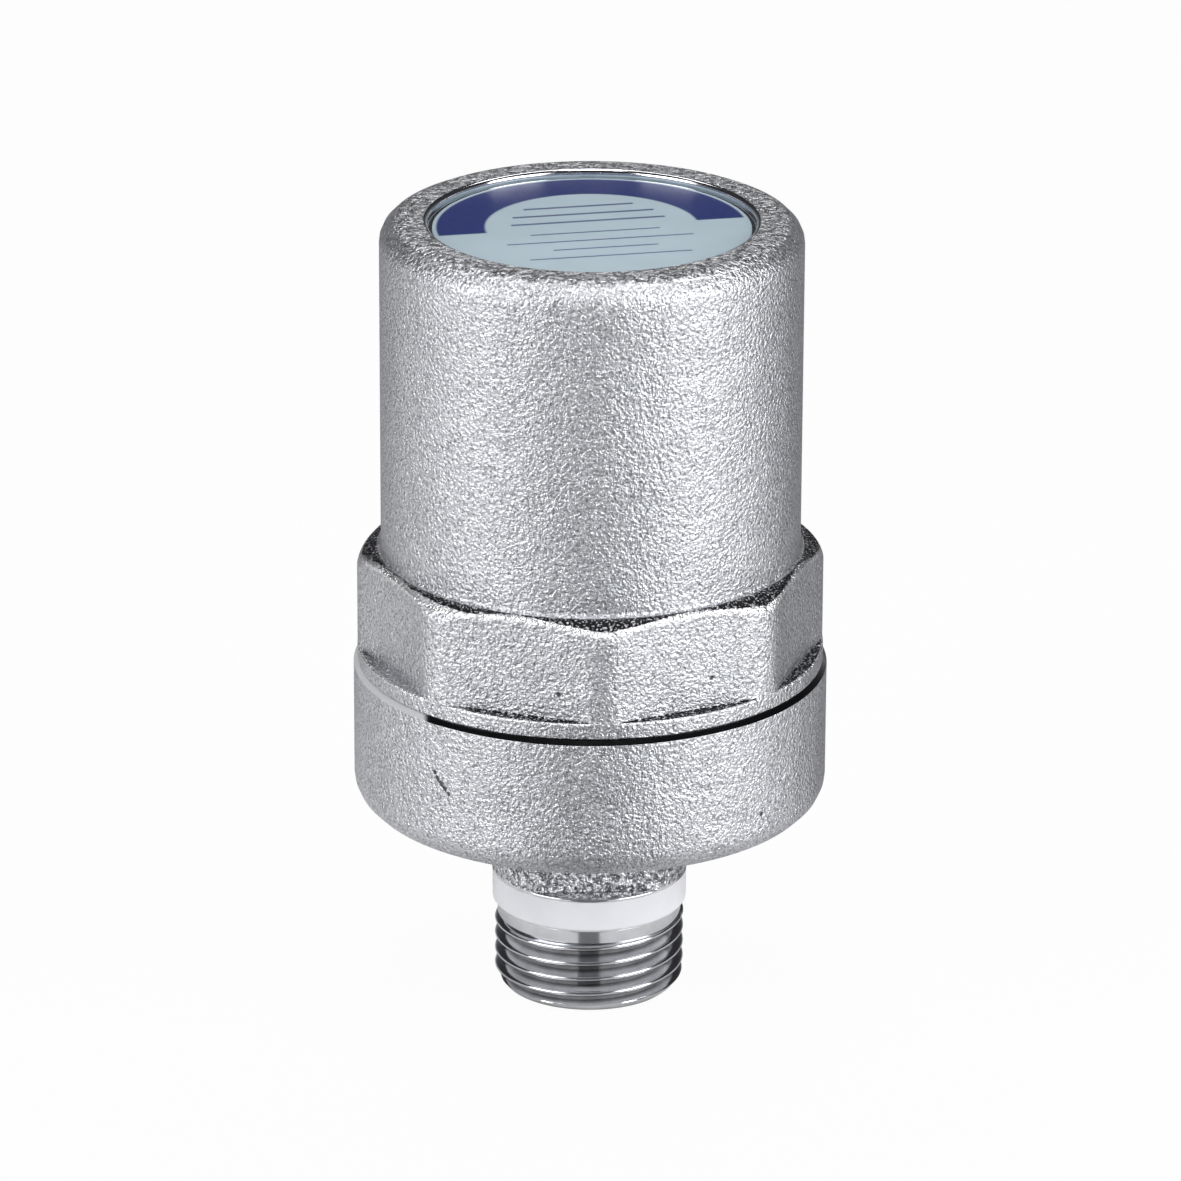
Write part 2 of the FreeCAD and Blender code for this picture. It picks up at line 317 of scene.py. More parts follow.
@dataclass(frozen=True)
class Noise:
    """Noise in lumps of one size in metres, with the number of its finer layers and their strength."""

    size: float
    layers: float = 2.0
    strength: float = 0.5

    def of(self, graph: SurfaceGraph, place: "bpy.types.NodeSocket | None" = None) -> Value:
        """The noise over a surface.

        Args:
            graph: The material's tree.
            place: Coordinates that stand for the object's own.

        Returns:
            The noise, about one half on average.
        """
        made = graph.node("ShaderNodeTexNoise", None, {
            "Vector": place or graph.place, "Scale": 1.0 / self.size, "Detail": self.layers,
            "Roughness": self.strength})
        return Value(graph, made.outputs[0])


def uneven(middle: float, noise: Value, swing: float) -> Value:
    """A number that noise moves up and down about its middle."""
    return middle + (noise - 0.5) * swing


@dataclass(frozen=True)
class WrenchNooks:
    """Where shade and edge highlights are painted on the wrench section, in millimetres and degrees.

    The painted shade under the ledge is thin at the middle of a flat and deepest at its corners, and the
    crescents on the collar are filled with painted shade. Both are weaker on the left side, round a given x.
    Painted highlights run along the flats' rounded top edges and along the crescents' rims.
    Heights of the ledge's masks count from the ledge, radii of the collar's from its rim.
    """

    collar_r: float = SHARED.collar_r
    low_z: float = SHARED.wrench_z
    high_z: float = SHARED.ledge_z
    facets: int = SHARED.facets
    corner_turn: float = SHARED.corner_turn
    thinnest: float = 0.03
    deepest: float = 0.9
    taper: float = 1.7
    fray: float = 0.3
    depth: Mask = Mask(0.04, -0.04)
    under_ledge: Mask = Mask(0.03, -0.01)
    crest_width: float = 0.4
    crest: Mask = Mask(0.35, 0.1)
    under_crest: Mask = Mask(0.0, -0.03)
    crescent_height: Mask = Mask(0.15, 0.1)
    crescent_radius: Mask = Mask(-0.16, -0.26)
    rim_height: Mask = Mask(0.3, 0.12)
    rim_radius: Mask = Mask(-0.3, -0.14)
    rim_turn: Mask = Mask(math.radians(20.5), math.radians(18.5))
    # Where the painted shade fades, on the left side
    shade_fade_x: float = -19.0
    shade_fade: Mask = Mask(7.0, 3.0, 0.7)

    def masks(self, graph: SurfaceGraph, grit: Value) -> tuple[Value, Value]:
        """The masks of the painted shade and the painted edge highlights.

        Args:
            graph: The material's tree.
            grit: Noise that frays the masks' edges.

        Returns:
            Both masks.
        """
        x, y, z = graph.axes(graph.vector("MULTIPLY", graph.place, (1 / MM,) * 3))
        step = 2 * math.pi / self.facets
        whole_turns = 40
        turn = y.angle_over(x) / step + (whole_turns - math.radians(self.corner_turn - 90) / step)
        angle = abs((turn.fraction() - 0.5) * step)
        inward = (x * x + y * y).root() - self.collar_r
        left = 1 - self.shade_fade.of(abs(x - self.shade_fade_x))
        reach = self.thinnest + (angle * (2 / step)) ** self.taper * self.deepest * left
        past = self.high_z - z + (grit - 0.5) * self.fray - reach
        # Painted shade under the ledge; below it, a painted highlight on the flats' rounded top edges
        upper = self.depth.of(past) * self.under_ledge.of(z - self.high_z)
        crest = self.crest.of(past - self.crest_width) * (1 - upper) * self.under_crest.of(z - self.high_z)
        near = abs(z - self.low_z)
        # Painted shade in the crescents, and a painted highlight on their rims
        lower = self.crescent_height.of(near) * self.crescent_radius.of(inward) * left
        rim = self.rim_height.of(near) * self.rim_radius.of(inward) * self.rim_turn.of(angle)
        return upper.at_least(lower), crest.at_least(rim)


@dataclass(frozen=True)
class BlastedPlating:
    """Satin plating on a blasted forging: soft grain, broad unevenness and a few pits.

    The pits are in millimetres. Inside rough_zone, between two heights in millimetres, the coarser
    blotches take over. The colour carries painted shade in the hollows of the grain and the blotches and in
    the pits, and painted highlights on the blotches' peaks; the wrench nooks add painted shade and painted
    edge highlights. A shade is a share of the colour; swings, dullings and gloss change the roughness.
    """

    name: str
    colour: Colour = (0.66, 0.67, 0.705)
    # White painted as highlights on the wrench edges and the blotches' peaks, and used for the grain's light
    # specks
    highlight_white: Colour = (0.9, 0.905, 0.92)
    # Black painted as shade in the wrench nooks and in the pits
    shade_black: Colour = (0.02, 0.02, 0.023)
    roughness: float = 0.33
    grain: Noise = Noise(0.0004, 2.0, 0.6)
    speck: Noise = Noise(0.00028, 1.0)
    blotch: Noise = Noise(0.00065, 2.0, 0.6)
    lumps: Noise = Noise(0.005)
    grain_depth: float = 0.00028
    broad_height: float = 0.8
    blotch_height: float = 1.6
    pit_height: float = 1.6
    cloud: Mask = Mask(0.35, 0.65)
    # Painted shade in the hollows of the grain's relief, which is also duller there
    hollow_shade: Mask = Mask(0.46, 0.3)
    dark_specks: Mask = Mask(0.46, 0.3, 0.7)
    bright_specks: Mask = Mask(0.54, 0.68, 0.8)
    # Inside rough_zone: painted shade in the blotches' hollows and painted highlights on their peaks
    blotch_hollow_shade: Mask = Mask(0.52, 0.42)
    blotch_peak_highlight: Mask = Mask(0.53, 0.62, 0.7)
    # Specks that stay out of the painted black shade
    unshaded_grains: Mask = Mask(0.54, 0.66, 0.75)
    cloud_shade: float = 0.95
    hollow_shade_tone: float = 0.35
    speck_shade: float = 0.3
    hollow_shade_share: float = 0.55
    highlight_share: float = 0.95
    pit_share: float = 0.85
    pit_floor: float = 0.4
    lump_swing: float = 0.12
    hollow_dulling: float = 0.08
    shade_dulling: float = 0.25
    highlight_gloss: float = 0.06
    pits: tuple[tuple[float, float, float, float], ...] = ()
    rough_zone: Point = (88.15, 88.5)
    nooks: WrenchNooks | None = None

    def pitted(self, graph: SurfaceGraph) -> "Value | float":
        """The mask of the pits.

        Args:
            graph: The material's tree.

        Returns:
            The mask, or nought without pits.
        """
        mask: Value | float = 0.0
        for x, y, z, radius in self.pits:
            distance = graph.distance(graph.place, (x * MM, y * MM, z * MM))
            mask = distance.ramp(radius * MM, radius * MM * self.pit_floor).at_least(mask)
        return mask

    def build(self) -> bpy.types.Material:
        """Makes the material."""
        graph = SurfaceGraph(self.name)
        coarse, broad, speck, blotch = (
            noise.of(graph) for noise in (self.grain, self.lumps, self.speck, self.blotch))
        _, level = graph.from_axis()
        rough = level.ramp(*(end * MM for end in self.rough_zone))
        pitted = self.pitted(graph)
        height = coarse + broad * self.broad_height + blotch * rough * self.blotch_height
        # Painted shade where the grain's relief is low
        hollow_shade = self.hollow_shade.of(coarse)
        # Random dark specks, and painted shade in the blotches' hollows
        dark = self.dark_specks.of(speck).at_least(self.blotch_hollow_shade.of(blotch) * rough)
        # Random light specks, and painted highlights on the blotches' peaks
        bright = self.bright_specks.of(speck).at_least(self.blotch_peak_highlight.of(blotch) * rough)
        # The pits are painted black as shade over their bumped hollows
        black = pitted * self.pit_share
        roughness = uneven(self.roughness, broad, self.lump_swing) + hollow_shade * self.hollow_dulling
        if self.nooks:
            # The wrench nooks' masks: painted shade, and painted highlights on the edges
            shade_black, highlight_white = self.nooks.masks(graph, coarse)
            bright = bright.at_least(highlight_white * self.highlight_share)
            black = (shade_black * (1 - self.unshaded_grains.of(speck))).at_least(black)
            roughness = roughness - highlight_white * self.highlight_gloss
        tint = graph.shaded(self.cloud.of(broad), self.colour, self.cloud_shade)
        for mask, colour in ((hollow_shade * self.hollow_shade_share, scaled(self.colour, self.hollow_shade_tone)),
                             (dark, scaled(self.colour, self.speck_shade)),
                             (bright, self.highlight_white), (black, self.shade_black)):
            tint = graph.mix(mask, tint, colour)
        graph.surface(Base_Color=tint, Metallic=1.0, Roughness=roughness + black * self.shade_dulling,
                      Normal=graph.relief(height - pitted * self.pit_height, self.grain_depth))
        return graph.material


@dataclass(frozen=True)
class TurnedPlating:
    """Bright plating over a turned surface, with fine tool lines round the axis.

    The thread's roots and the seam under the collar are painted dark as shade, except on the left side
    of the seam, where a paler matt band is painted where light falls. Masks are in millimetres, the depth
    of the tool lines in metres.
    """

    name: str
    colour: Colour = (0.8, 0.81, 0.835)
    # Grey of the paler band painted on the seam's left side, where light falls
    lit_band_grey: Colour = (0.56, 0.565, 0.58)
    roughness: float = 0.13
    line: Noise = Noise(0.00018, 2.0, 0.6)
    line_depth: float = 0.000004
    smudge: Noise = Noise(0.002, 3.0, 0.6)
    smudge_shade: float = 0.9
    smudge_swing: float = 0.1
    cloud: Mask = Mask(0.35, 0.7)
    # Tone of the painted shade in the thread's roots and in the seam
    root_and_seam_shade_tone: float = 0.1
    root_share: Point = (0.5, 0.4)
    seam_share: float = 0.9
    # Loss of metal and gloss in that painted light band
    lit_band_matt: float = 0.8
    lit_band_dulling: float = 0.4
    root_radius: Mask = Mask(9.9, 9.32)
    root_height: Mask = Mask(SHARED.thread_z + 0.2, SHARED.thread_z)
    seam_z: float = SHARED.seam_z
    seam: Mask = Mask(0.9, 0.5)
    # Where the seam's painted shade fades into the painted light band, on the left
    shade_fade_x: Mask = Mask(-17.2, -18.2)

    def build(self) -> bpy.types.Material:
        """Makes the material."""
        graph = SurfaceGraph(self.name)
        x, _, z = graph.axes(graph.vector("MULTIPLY", graph.place, (1 / MM,) * 3))
        radius, level = graph.from_axis()
        lines = self.line.of(graph, graph.joined(radius, 0.0, level))
        smudge = self.smudge.of(graph)
        # Painted shade in the thread's roots and in the seam under the collar
        root = self.root_radius.of(radius / MM) * self.root_height.of(z)
        seam, shade_fade = self.seam.of(abs(z - self.seam_z)), self.shade_fade_x.of(x)
        # A paler matt band painted as light where the seam's shade fades on the left
        lit_seam_band = seam * shade_fade
        least, more = self.root_share
        root_and_seam_shade = (root * (least + smudge * more)).at_least(seam * (1 - shade_fade) * self.seam_share)
        tint = graph.shaded(self.cloud.of(smudge), self.colour, self.smudge_shade)
        tint = graph.mix(root_and_seam_shade, tint, scaled(self.colour, self.root_and_seam_shade_tone))
        tint = graph.mix(lit_seam_band, tint, self.lit_band_grey)
        metal = 1 - lit_seam_band * self.lit_band_matt
        dullness = uneven(self.roughness, smudge, self.smudge_swing) + lit_seam_band * self.lit_band_dulling
        graph.surface(Base_Color=tint, Metallic=metal, Roughness=dullness,
                      Normal=graph.relief(lines, self.line_depth))
        return graph.material


@dataclass(frozen=True)
class MouldedPlastic:
    """Plastic from a mould: nearly even colour, a slight sheen and a faint skin."""

    name: str
    colour: Colour
    roughness: float = 0.38
    skin: Noise = Noise(0.0007, 3.0)
    skin_depth: float = 0.000008
    patch: Noise = Noise(0.004)
    patch_shade: float = 0.96
    patch_swing: float = 0.1
    refraction: float = 1.45

    def build(self) -> bpy.types.Material:
        """Makes the material."""
        graph = SurfaceGraph(self.name)
        skin, cloud = self.skin.of(graph), self.patch.of(graph)
        tint = graph.shaded(CLOUD.of(cloud), self.colour, self.patch_shade)
        graph.surface(Base_Color=tint, Roughness=uneven(self.roughness, cloud, self.patch_swing),
                      Normal=graph.relief(skin, self.skin_depth), IOR=self.refraction)
        return graph.material


@dataclass(frozen=True)
class SealRubber:
    """Black greased rubber of the sealing rings."""

    name: str
    colour: Colour = (0.018, 0.018, 0.019)
    roughness: float = 0.42
    patch: Noise = Noise(0.0012, 3.0, 0.6)
    depth: float = 0.000012
    bloom: Mask = Mask(0.4, 0.75)
    bloom_shade: float = 1.9
    bloom_swing: float = 0.25

    def build(self) -> bpy.types.Material:
        """Makes the material."""
        graph = SurfaceGraph(self.name)
        bloom = self.patch.of(graph)
        tint = graph.shaded(self.bloom.of(bloom), self.colour, self.bloom_shade)
        graph.surface(Base_Color=tint, Roughness=uneven(self.roughness, bloom, self.bloom_swing),
                      Normal=graph.relief(bloom, self.depth))
        return graph.material


@dataclass(frozen=True)
class SpringSteel:
    """Drawn spring wire, with fine lines along it and a dark oiled tone."""

    name: str
    colour: Colour = (0.42, 0.42, 0.43)
    roughness: float = 0.3
    line: Noise = Noise(0.00012, 2.0, 0.6)
    line_depth: float = 0.000003
    patch: Noise = Noise(0.003, 3.0, 0.6)
    oil_shade: float = 0.7
    oil_swing: float = 0.2

    def build(self) -> bpy.types.Material:
        """Makes the material."""
        graph = SurfaceGraph(self.name)
        radius, level = graph.from_axis()
        drawn = self.line.of(graph, graph.joined(radius, 0.0, level))
        oil = self.patch.of(graph)
        tint = graph.shaded(CLOUD.of(oil), self.colour, self.oil_shade)
        graph.surface(Base_Color=tint, Metallic=1.0, Roughness=uneven(self.roughness, oil, self.oil_swing),
                      Normal=graph.relief(drawn, self.line_depth))
        return graph.material


@dataclass(frozen=True)
class PrintedLabel:
    """The round label: pale film with a dark band printed over its rear half and plain ruled lines.

    Places on the label are shares of its radius. Each rule is its level, its half length and its
    half width; turn is the print's angle in degrees.
    """

    name: str
    radius: float
    film: Colour = (0.385, 0.475, 0.53)
    ink: Colour = (0.009, 0.019, 0.125)
    roughness: float = 0.5
    gloss: float = 0.3
    ink_grain: Noise = Noise(0.0003, 2.0, 0.6)
    patch: Noise = Noise(0.006)
    wave: Noise = Noise(0.0016)
    depth: float = 0.000008
    ink_share: Point = (0.93, 0.1)
    ink_height: float = 0.2
    rule_ink: float = 0.8
    patch_shade: float = 0.95
    patch_swing: float = 0.12
    band_inner: float = 0.67
    band_outer: Point = (0.985, 0.965)
    edge: float = 0.012
    rule_end: float = 0.015
    turn: float = 12.0
    rules: tuple[tuple[float, float, float], ...] = (
        (0.42, 0.36, 0.020), (0.27, 0.46, 0.020), (0.12, 0.50, 0.020), (-0.10, 0.42, 0.013),
        (-0.26, 0.60, 0.013), (-0.42, 0.34, 0.013), (-0.58, 0.52, 0.013))

    def build(self) -> bpy.types.Material:
        """Makes the material."""
        graph = SurfaceGraph(self.name)
        x, y, _ = graph.axes(graph.place)
        sine, cosine = math.sin(math.radians(self.turn)), math.cos(math.radians(self.turn))
        across = (x * cosine + y * sine) / self.radius
        ahead = (y * cosine - x * sine) / self.radius
        radius = (across * across + ahead * ahead).root()
        ring = radius.ramp(self.band_inner - self.edge, self.band_inner + self.edge)
        band = ring * radius.ramp(*self.band_outer) * ahead.ramp(-self.edge, self.edge)
        for level, half, thin in self.rules:
            rule = abs(ahead - level).ramp(thin, thin * 0.5) * abs(across).ramp(half, half - self.rule_end)
            band = band.at_least(rule * self.rule_ink)
        least, more = self.ink_share
        band = band * (least + self.ink_grain.of(graph) * more)
        cloud = self.patch.of(graph)
        film = graph.shaded(CLOUD.of(cloud), self.film, self.patch_shade)
        tint = graph.mix(band, film, self.ink)
        graph.surface(Base_Color=tint, Roughness=uneven(self.roughness, cloud, self.patch_swing),
                      Normal=graph.relief(self.wave.of(graph) + band * self.ink_height, self.depth),
                      Specular_IOR_Level=self.gloss)
        return graph.material


# ---------------------------------------------------------------- meshes


def arc_points(centre: Point, radius: float, first: float, last: float, steps: int = 6) -> Outline:
    """Points along a circular corner, its angles in degrees, 0 being outwards and 90 up."""
    turns = [math.radians(first + (last - first) * step / steps) for step in range(steps + 1)]
    return [(centre[0] + radius * math.cos(t), centre[1] + radius * math.sin(t)) for t in turns]


def rounded(corners: Sequence[tuple[float, float, float]], closed: bool = False) -> Outline:
    """An outline with its corners rounded, and a close neighbour at each end of a rounding.

    Args:
        corners: (radius, height, rounding) of each corner.
        closed: Whether the last corner joins the first.

    Returns:
        The outline's points.
    """
    longest, neighbour, furthest, chord_turn = 0.48, 1.15, 0.49, 18
    points: Outline = []
    count = len(corners)
    for index, (radius, height, rounding) in enumerate(corners):
        here = np.array((radius, height))
        if rounding <= 0 or (not closed and index in (0, count - 1)):
            points.append((radius, height))
            continue
        back = np.array(corners[index - 1][:2]) - here
        ahead = np.array(corners[(index + 1) % count][:2]) - here
        back_unit, ahead_unit = back / np.linalg.norm(back), ahead / np.linalg.norm(ahead)
        half = math.acos(float(np.clip(back_unit @ ahead_unit, -1, 1))) / 2
        room = min(np.linalg.norm(back), np.linalg.norm(ahead)) * longest
        reach = min(rounding / math.tan(half), room)
        own = reach * math.tan(half)
        bisector = (back_unit + ahead_unit) / np.linalg.norm(back_unit + ahead_unit)
        middle = here + bisector * own / math.sin(half)
        first, last = here + back_unit * reach - middle, here + ahead_unit * reach - middle
        steps = max(2, int(math.degrees(math.pi - 2 * half) / chord_turn))
        points.append(tuple(here + back_unit * min(reach * neighbour, furthest * np.linalg.norm(back))))
        for step in range(steps + 1):
            share = step / steps
            spot = first * (1 - share) + last * share
            points.append(tuple(middle + spot / np.linalg.norm(spot) * own))
        points.append(tuple(here + ahead_unit * min(reach * neighbour, furthest * np.linalg.norm(ahead))))
    return points


def placed(name: str, data: bpy.types.ID) -> bpy.types.Object:
    """Puts a new object in the scene.

    Args:
        name: The object's name.
        data: Its mesh, lamp or camera.

    Returns:
        The object.
    """
    made = bpy.data.objects.new(name, data)
    bpy.context.scene.collection.objects.link(made)
    return made


def finished(name: str, mesh: bpy.types.Mesh, sharp: float = SHARP) -> bpy.types.Object:
    """Puts a mesh in the scene, shaded smooth except at its sharp edges.

    Args:
        name: The piece's name.
        mesh: Its mesh, in place.
        sharp: The angle in degrees from which an edge stays sharp.

    Returns:
        The object.
    """
    mesh.name = name
    mesh.shade_smooth()
    mesh.set_sharp_from_angle(angle=math.radians(sharp))
    return placed(name, mesh)


class Rows:
    """Rows of points round the axis, in millimetres, from which a shell is made."""

    def __init__(self, columns: int) -> None:
        """Starts without rows.

        Args:
            columns: How many points each row has.
        """
        self.angles = np.arange(columns) * 2 * math.pi / columns
        self.radii: list[np.ndarray] = []
        self.heights: list[np.ndarray] = []

    def add(self, radius: "np.ndarray | float", height: "np.ndarray | float") -> None:
        """Adds one row; a plain number holds for every column."""
        self.radii.append(np.broadcast_to(radius, self.angles.shape).astype(float))
        self.heights.append(np.broadcast_to(height, self.angles.shape).astype(float))

    def follow(self, outline: Outline) -> None:
        """Adds a round row for each point of an outline."""
        for radius, height in outline:
            self.add(radius, height)

    def shell(self, name: str, closed: bool) -> bpy.types.Mesh:
        """Makes the surface over the rows.

        Args:
            name: The mesh's name.
            closed: Whether the last row joins the first; otherwise both ends close in a point on the axis.

        Returns:
            The mesh, in metres.
        """
        radii, heights = np.array(self.radii), np.array(self.heights)
        spots = np.stack([radii * np.cos(self.angles), radii * np.sin(self.angles), heights], axis=-1) * MM
        rows, columns = radii.shape
        first, last = (0, rows) if closed else (1, rows - 1)
        vertices = spots[first:last].reshape(-1, 3)
        ring = np.arange(columns)
        following = (ring + 1) % columns
        count = last - first
        faces: list[list[int]] = []
        for row in range(count if closed else count - 1):
            low, high = row * columns, ((row + 1) % count) * columns
            faces += np.stack([low + ring, low + following, high + following, high + ring], axis=1).tolist()
        if not closed:
            base, top = len(vertices), (count - 1) * columns
            vertices = np.vstack([vertices, spots[0, :1], spots[-1, :1]])
            faces += [[base, int(b), int(a)] for a, b in zip(ring, following)]
            faces += [[base + 1, int(top + a), int(top + b)] for a, b in zip(ring, following)]
        mesh = bpy.data.meshes.new(name)
        mesh.from_pydata(vertices.tolist(), [], faces)
        mesh.update()
        return mesh


def paint_rows(mesh: bpy.types.Mesh, materials: Sequence[bpy.types.Material],
               chooser: Callable[[np.ndarray, np.ndarray], np.ndarray]) -> None:
    """Gives each face its finish by where it lies.

    Args:
        mesh: The mesh.
        materials: The finishes, in order.
        chooser: From the faces' radii and heights in millimetres to places in materials.
    """
    for material in materials:
        mesh.materials.append(material)
    centres = np.zeros(len(mesh.polygons) * 3)
    mesh.polygons.foreach_get("center", centres)
    centres = centres.reshape(-1, 3) / MM
    chosen = chooser(np.hypot(centres[:, 0], centres[:, 1]), centres[:, 2])
    mesh.polygons.foreach_set("material_index", chosen.astype(np.int32))
    mesh.update()


def soft_least(first: np.ndarray, second: np.ndarray, blend: float) -> np.ndarray:
    """The smaller of two radii, with the crease between them eased over a blend length."""
    share = np.clip(0.5 + (second - first) / (2 * blend), 0, 1)
    return second * (1 - share) + first * share - blend * share * (1 - share)


# ---------------------------------------------------------------- geometry trees


class Tree:
    """A Geometry Nodes tree with named inputs, run once and left as a plain mesh."""

    def __init__(self, name: str, takes_outline: bool = False) -> None:
        """Makes the empty tree.

        Args:
            name: The tree's name.
            takes_outline: Whether its modifier's own mesh is an input.
        """
        tree = bpy.data.node_groups.new(name, "GeometryNodeTree")
        self.graph = Graph(tree)
        self.identifiers: dict[str, str] = {}
        if takes_outline:
            tree.interface.new_socket(name="Outline", in_out="INPUT", socket_type="NodeSocketGeometry")
        tree.interface.new_socket(name="Geometry", in_out="OUTPUT", socket_type="NodeSocketGeometry")
        self.entry = tree.nodes.new("NodeGroupInput")
        self.exit = tree.nodes.new("NodeGroupOutput")

    def inputs(self, kind: str, *names: str) -> list[Value]:
        """Adds named numbers of one kind, "Float" or "Int"."""
        return [Value(self.graph, self._input(kind, name)) for name in names]

    def _input(self, kind: str, name: str) -> bpy.types.NodeSocket:
        """Adds one named input and keeps its identifier.

        Args:
            kind: "Float", "Int" or "Material".
            name: The input's name.

        Returns:
            The input, as the tree's nodes read it.
        """
        interface = self.graph.tree.interface
        made = interface.new_socket(name=name, in_out="INPUT", socket_type="NodeSocket" + kind)
        self.identifiers[name] = made.identifier
        return self.entry.outputs[name]

    def grid(self, columns: Value, rows: Value) -> tuple[bpy.types.NodeSocket, Value, Value]:
        """A grid of points to be moved.

        Args:
            columns: How many faces go round.
            rows: How many points each column has.

        Returns:
            The grid, each point's column and its row.
        """
        made = self.graph.node("GeometryNodeMeshGrid", None, {"Vertices X": columns + 1, "Vertices Y": rows})
        index = Value(self.graph, self.graph.node("GeometryNodeInputIndex").outputs[0])
        return made.outputs[0], (index / rows).floor(), index.modulo(rows)

    def moved(self, geometry: bpy.types.NodeSocket, place: bpy.types.NodeSocket) -> bpy.types.NodeSocket:
        """The geometry with its points set to a place."""
        made = self.graph.node("GeometryNodeSetPosition", None, {"Geometry": geometry, "Position": place})
        return made.outputs[0]

    def round_place(self, radius: Value, turn: Value, height: Value) -> bpy.types.NodeSocket:
        """The place at a radius, an angle in radians and a height."""
        return self.graph.joined(radius * turn.cosine(), radius * turn.sine(), height)

    def merged(self, geometry: bpy.types.NodeSocket, distance: float) -> bpy.types.NodeSocket:
        """The geometry with its points closer than a distance made one."""
        made = self.graph.node("GeometryNodeMergeByDistance", None,
                               {"Geometry": geometry, "Distance": distance})
        return made.outputs[0]

    def close(self, geometry: bpy.types.NodeSocket) -> None:
        """Ends the tree with real instances and the finish.

        Args:
            geometry: What the tree has made.
        """
        real = self.graph.node("GeometryNodeRealizeInstances", None, {0: geometry})
        dressed = self.graph.node("GeometryNodeSetMaterial", None, {
            "Geometry": real.outputs[0], "Material": self._input("Material", "Finish")})
        self.graph.feed(self.exit.inputs[0], dressed.outputs[0])

    def run(self, name: str, values: dict[str, object], outline: Outline | None = None,
            sharp: float = SHARP) -> bpy.types.Object:
        """Makes a piece with the tree.

        Args:
            name: The piece's name.
            values: The tree's inputs by name.
            outline: Points as (radius, height) in millimetres, for a tree that takes them.
            sharp: The angle in degrees from which an edge stays sharp.

        Returns:
            The piece, a plain mesh in place.
        """
        start = bpy.data.meshes.new(name + "_start")
        spots = [(radius * MM, 0.0, height * MM) for radius, height in outline or []]
        start.from_pydata(spots, [(i, i + 1) for i in range(len(spots) - 1)], [])
        maker = placed(name + "_maker", start)
        modifier = maker.modifiers.new("Shape", "NODES")
        modifier.node_group = self.graph.tree
        for key, value in values.items():
            modifier[self.identifiers[key]] = value
        state = bpy.context.evaluated_depsgraph_get()
        mesh = bpy.data.meshes.new_from_object(maker.evaluated_get(state), depsgraph=state)
        maker.modifiers.clear()
        bpy.data.objects.remove(maker)
        return finished(name, mesh, sharp)


class LatheTree(Tree):
    """Turns a closed outline of points round the axis."""

    def __init__(self) -> None:
        """Builds the tree: a grid whose rows take the outline's points."""
        super().__init__("lathe", takes_outline=True)
        graph = self.graph
        columns, rows = self.inputs("Int", "Columns", "Rows")
        grid, column, row = self.grid(columns, rows)
        point = graph.node("GeometryNodeInputPosition").outputs[0]
        taken = graph.node("GeometryNodeSampleIndex", {"data_type": "FLOAT_VECTOR", "domain": "POINT"}, {
            "Geometry": self.entry.outputs["Outline"], "Value": point, "Index": row})
        radius, _, height = graph.axes(taken.outputs[0])
        place = self.round_place(radius, column / columns * (2 * math.pi), height)
        same_point = 1e-7
        self.close(self.merged(self.moved(grid, place), same_point))

    def turn(self, name: str, outline: Outline, finish: bpy.types.Material, columns: int = 192,
             sharp: float = SHARP) -> bpy.types.Object:
        """Turns one piece from its closed outline, the outside going up, with its first point once."""
        around = outline + outline[:1]
        return self.run(name, {"Columns": columns, "Rows": len(around), "Finish": finish}, around, sharp)


class ThreadTree(Tree):
    """A pipe thread as a sleeve whose rows follow the helix."""

    def __init__(self) -> None:
        """Builds the tree: a sheared grid, its radius set by where it lies on the thread's profile."""
        super().__init__("pipe_thread")
        columns, rows_a_turn, turns = self.inputs("Int", "Columns", "Rows a Turn", "Turns")
        pitch, length, crest, root_r, inner, run, rise, rounding = self.inputs(
            "Float", "Pitch", "Length", "Crest Radius", "Root Radius", "Inner Radius", "Chamfer Run",
            "Chamfer Rise", "Rounding")
        outer_rows = rows_a_turn * turns + 1
        inner_rows = 3
        grid, column, row = self.grid(columns, outer_rows + inner_rows)
        round_share = column / columns
        height = (((row - 1) / rows_a_turn - 1 + round_share) * pitch).at_least(0.0).at_most(length)
        whole_turns, wall, same_point = 40.0, 0.0001, 2e-6
        phase = (height / pitch - round_share + whole_turns).fraction()
        profile = self.profile(abs(phase - 0.5) * pitch, pitch, crest, root_r, rounding)
        chamfer = crest - run + height * run / rise
        outer = profile.at_most(chamfer).at_least(inner + wall)
        inside = row.below(0.5).at_least(row.above(outer_rows + 0.5))
        top_inside = abs(row - outer_rows - 1).below(0.5)
        place = self.round_place(outer * (1 - inside) + inner * inside, round_share * (2 * math.pi),
                                 height * (1 - inside) + length * top_inside)
        self.close(self.merged(self.moved(grid, place), same_point))

    def profile(self, offset: Value, pitch: Value, crest: Value, root_r: Value, rounding: Value) -> Value:
        """The thread's radius, of straight flanks with rounded crests and roots.

        Args:
            offset: The distance along the axis from the middle of the nearest crest.
            pitch: The distance from crest to crest.
            crest: The radius at the crests.
            root_r: The radius at the roots.
            rounding: The radius of both roundings.

        Returns:
            The radius.
        """
        flank_angle = math.radians(27.5)
        touch = rounding * math.cos(flank_angle)
        from_root = pitch / 2 - offset
        flank = (crest + root_r) / 2 + (pitch / 4 - offset) * (1 / math.tan(flank_angle))
        at_crest, at_root = (touch - offset).above(0.0), (touch - from_root).above(0.0)
        crest_curve = crest - rounding + (rounding * rounding - offset * offset).at_least(0.0).root()
        root_curve = root_r + rounding - (rounding * rounding - from_root * from_root).at_least(0.0).root()
        upper = flank * (1 - at_crest) + crest_curve * at_crest
        return upper * (1 - at_root) + root_curve * at_root


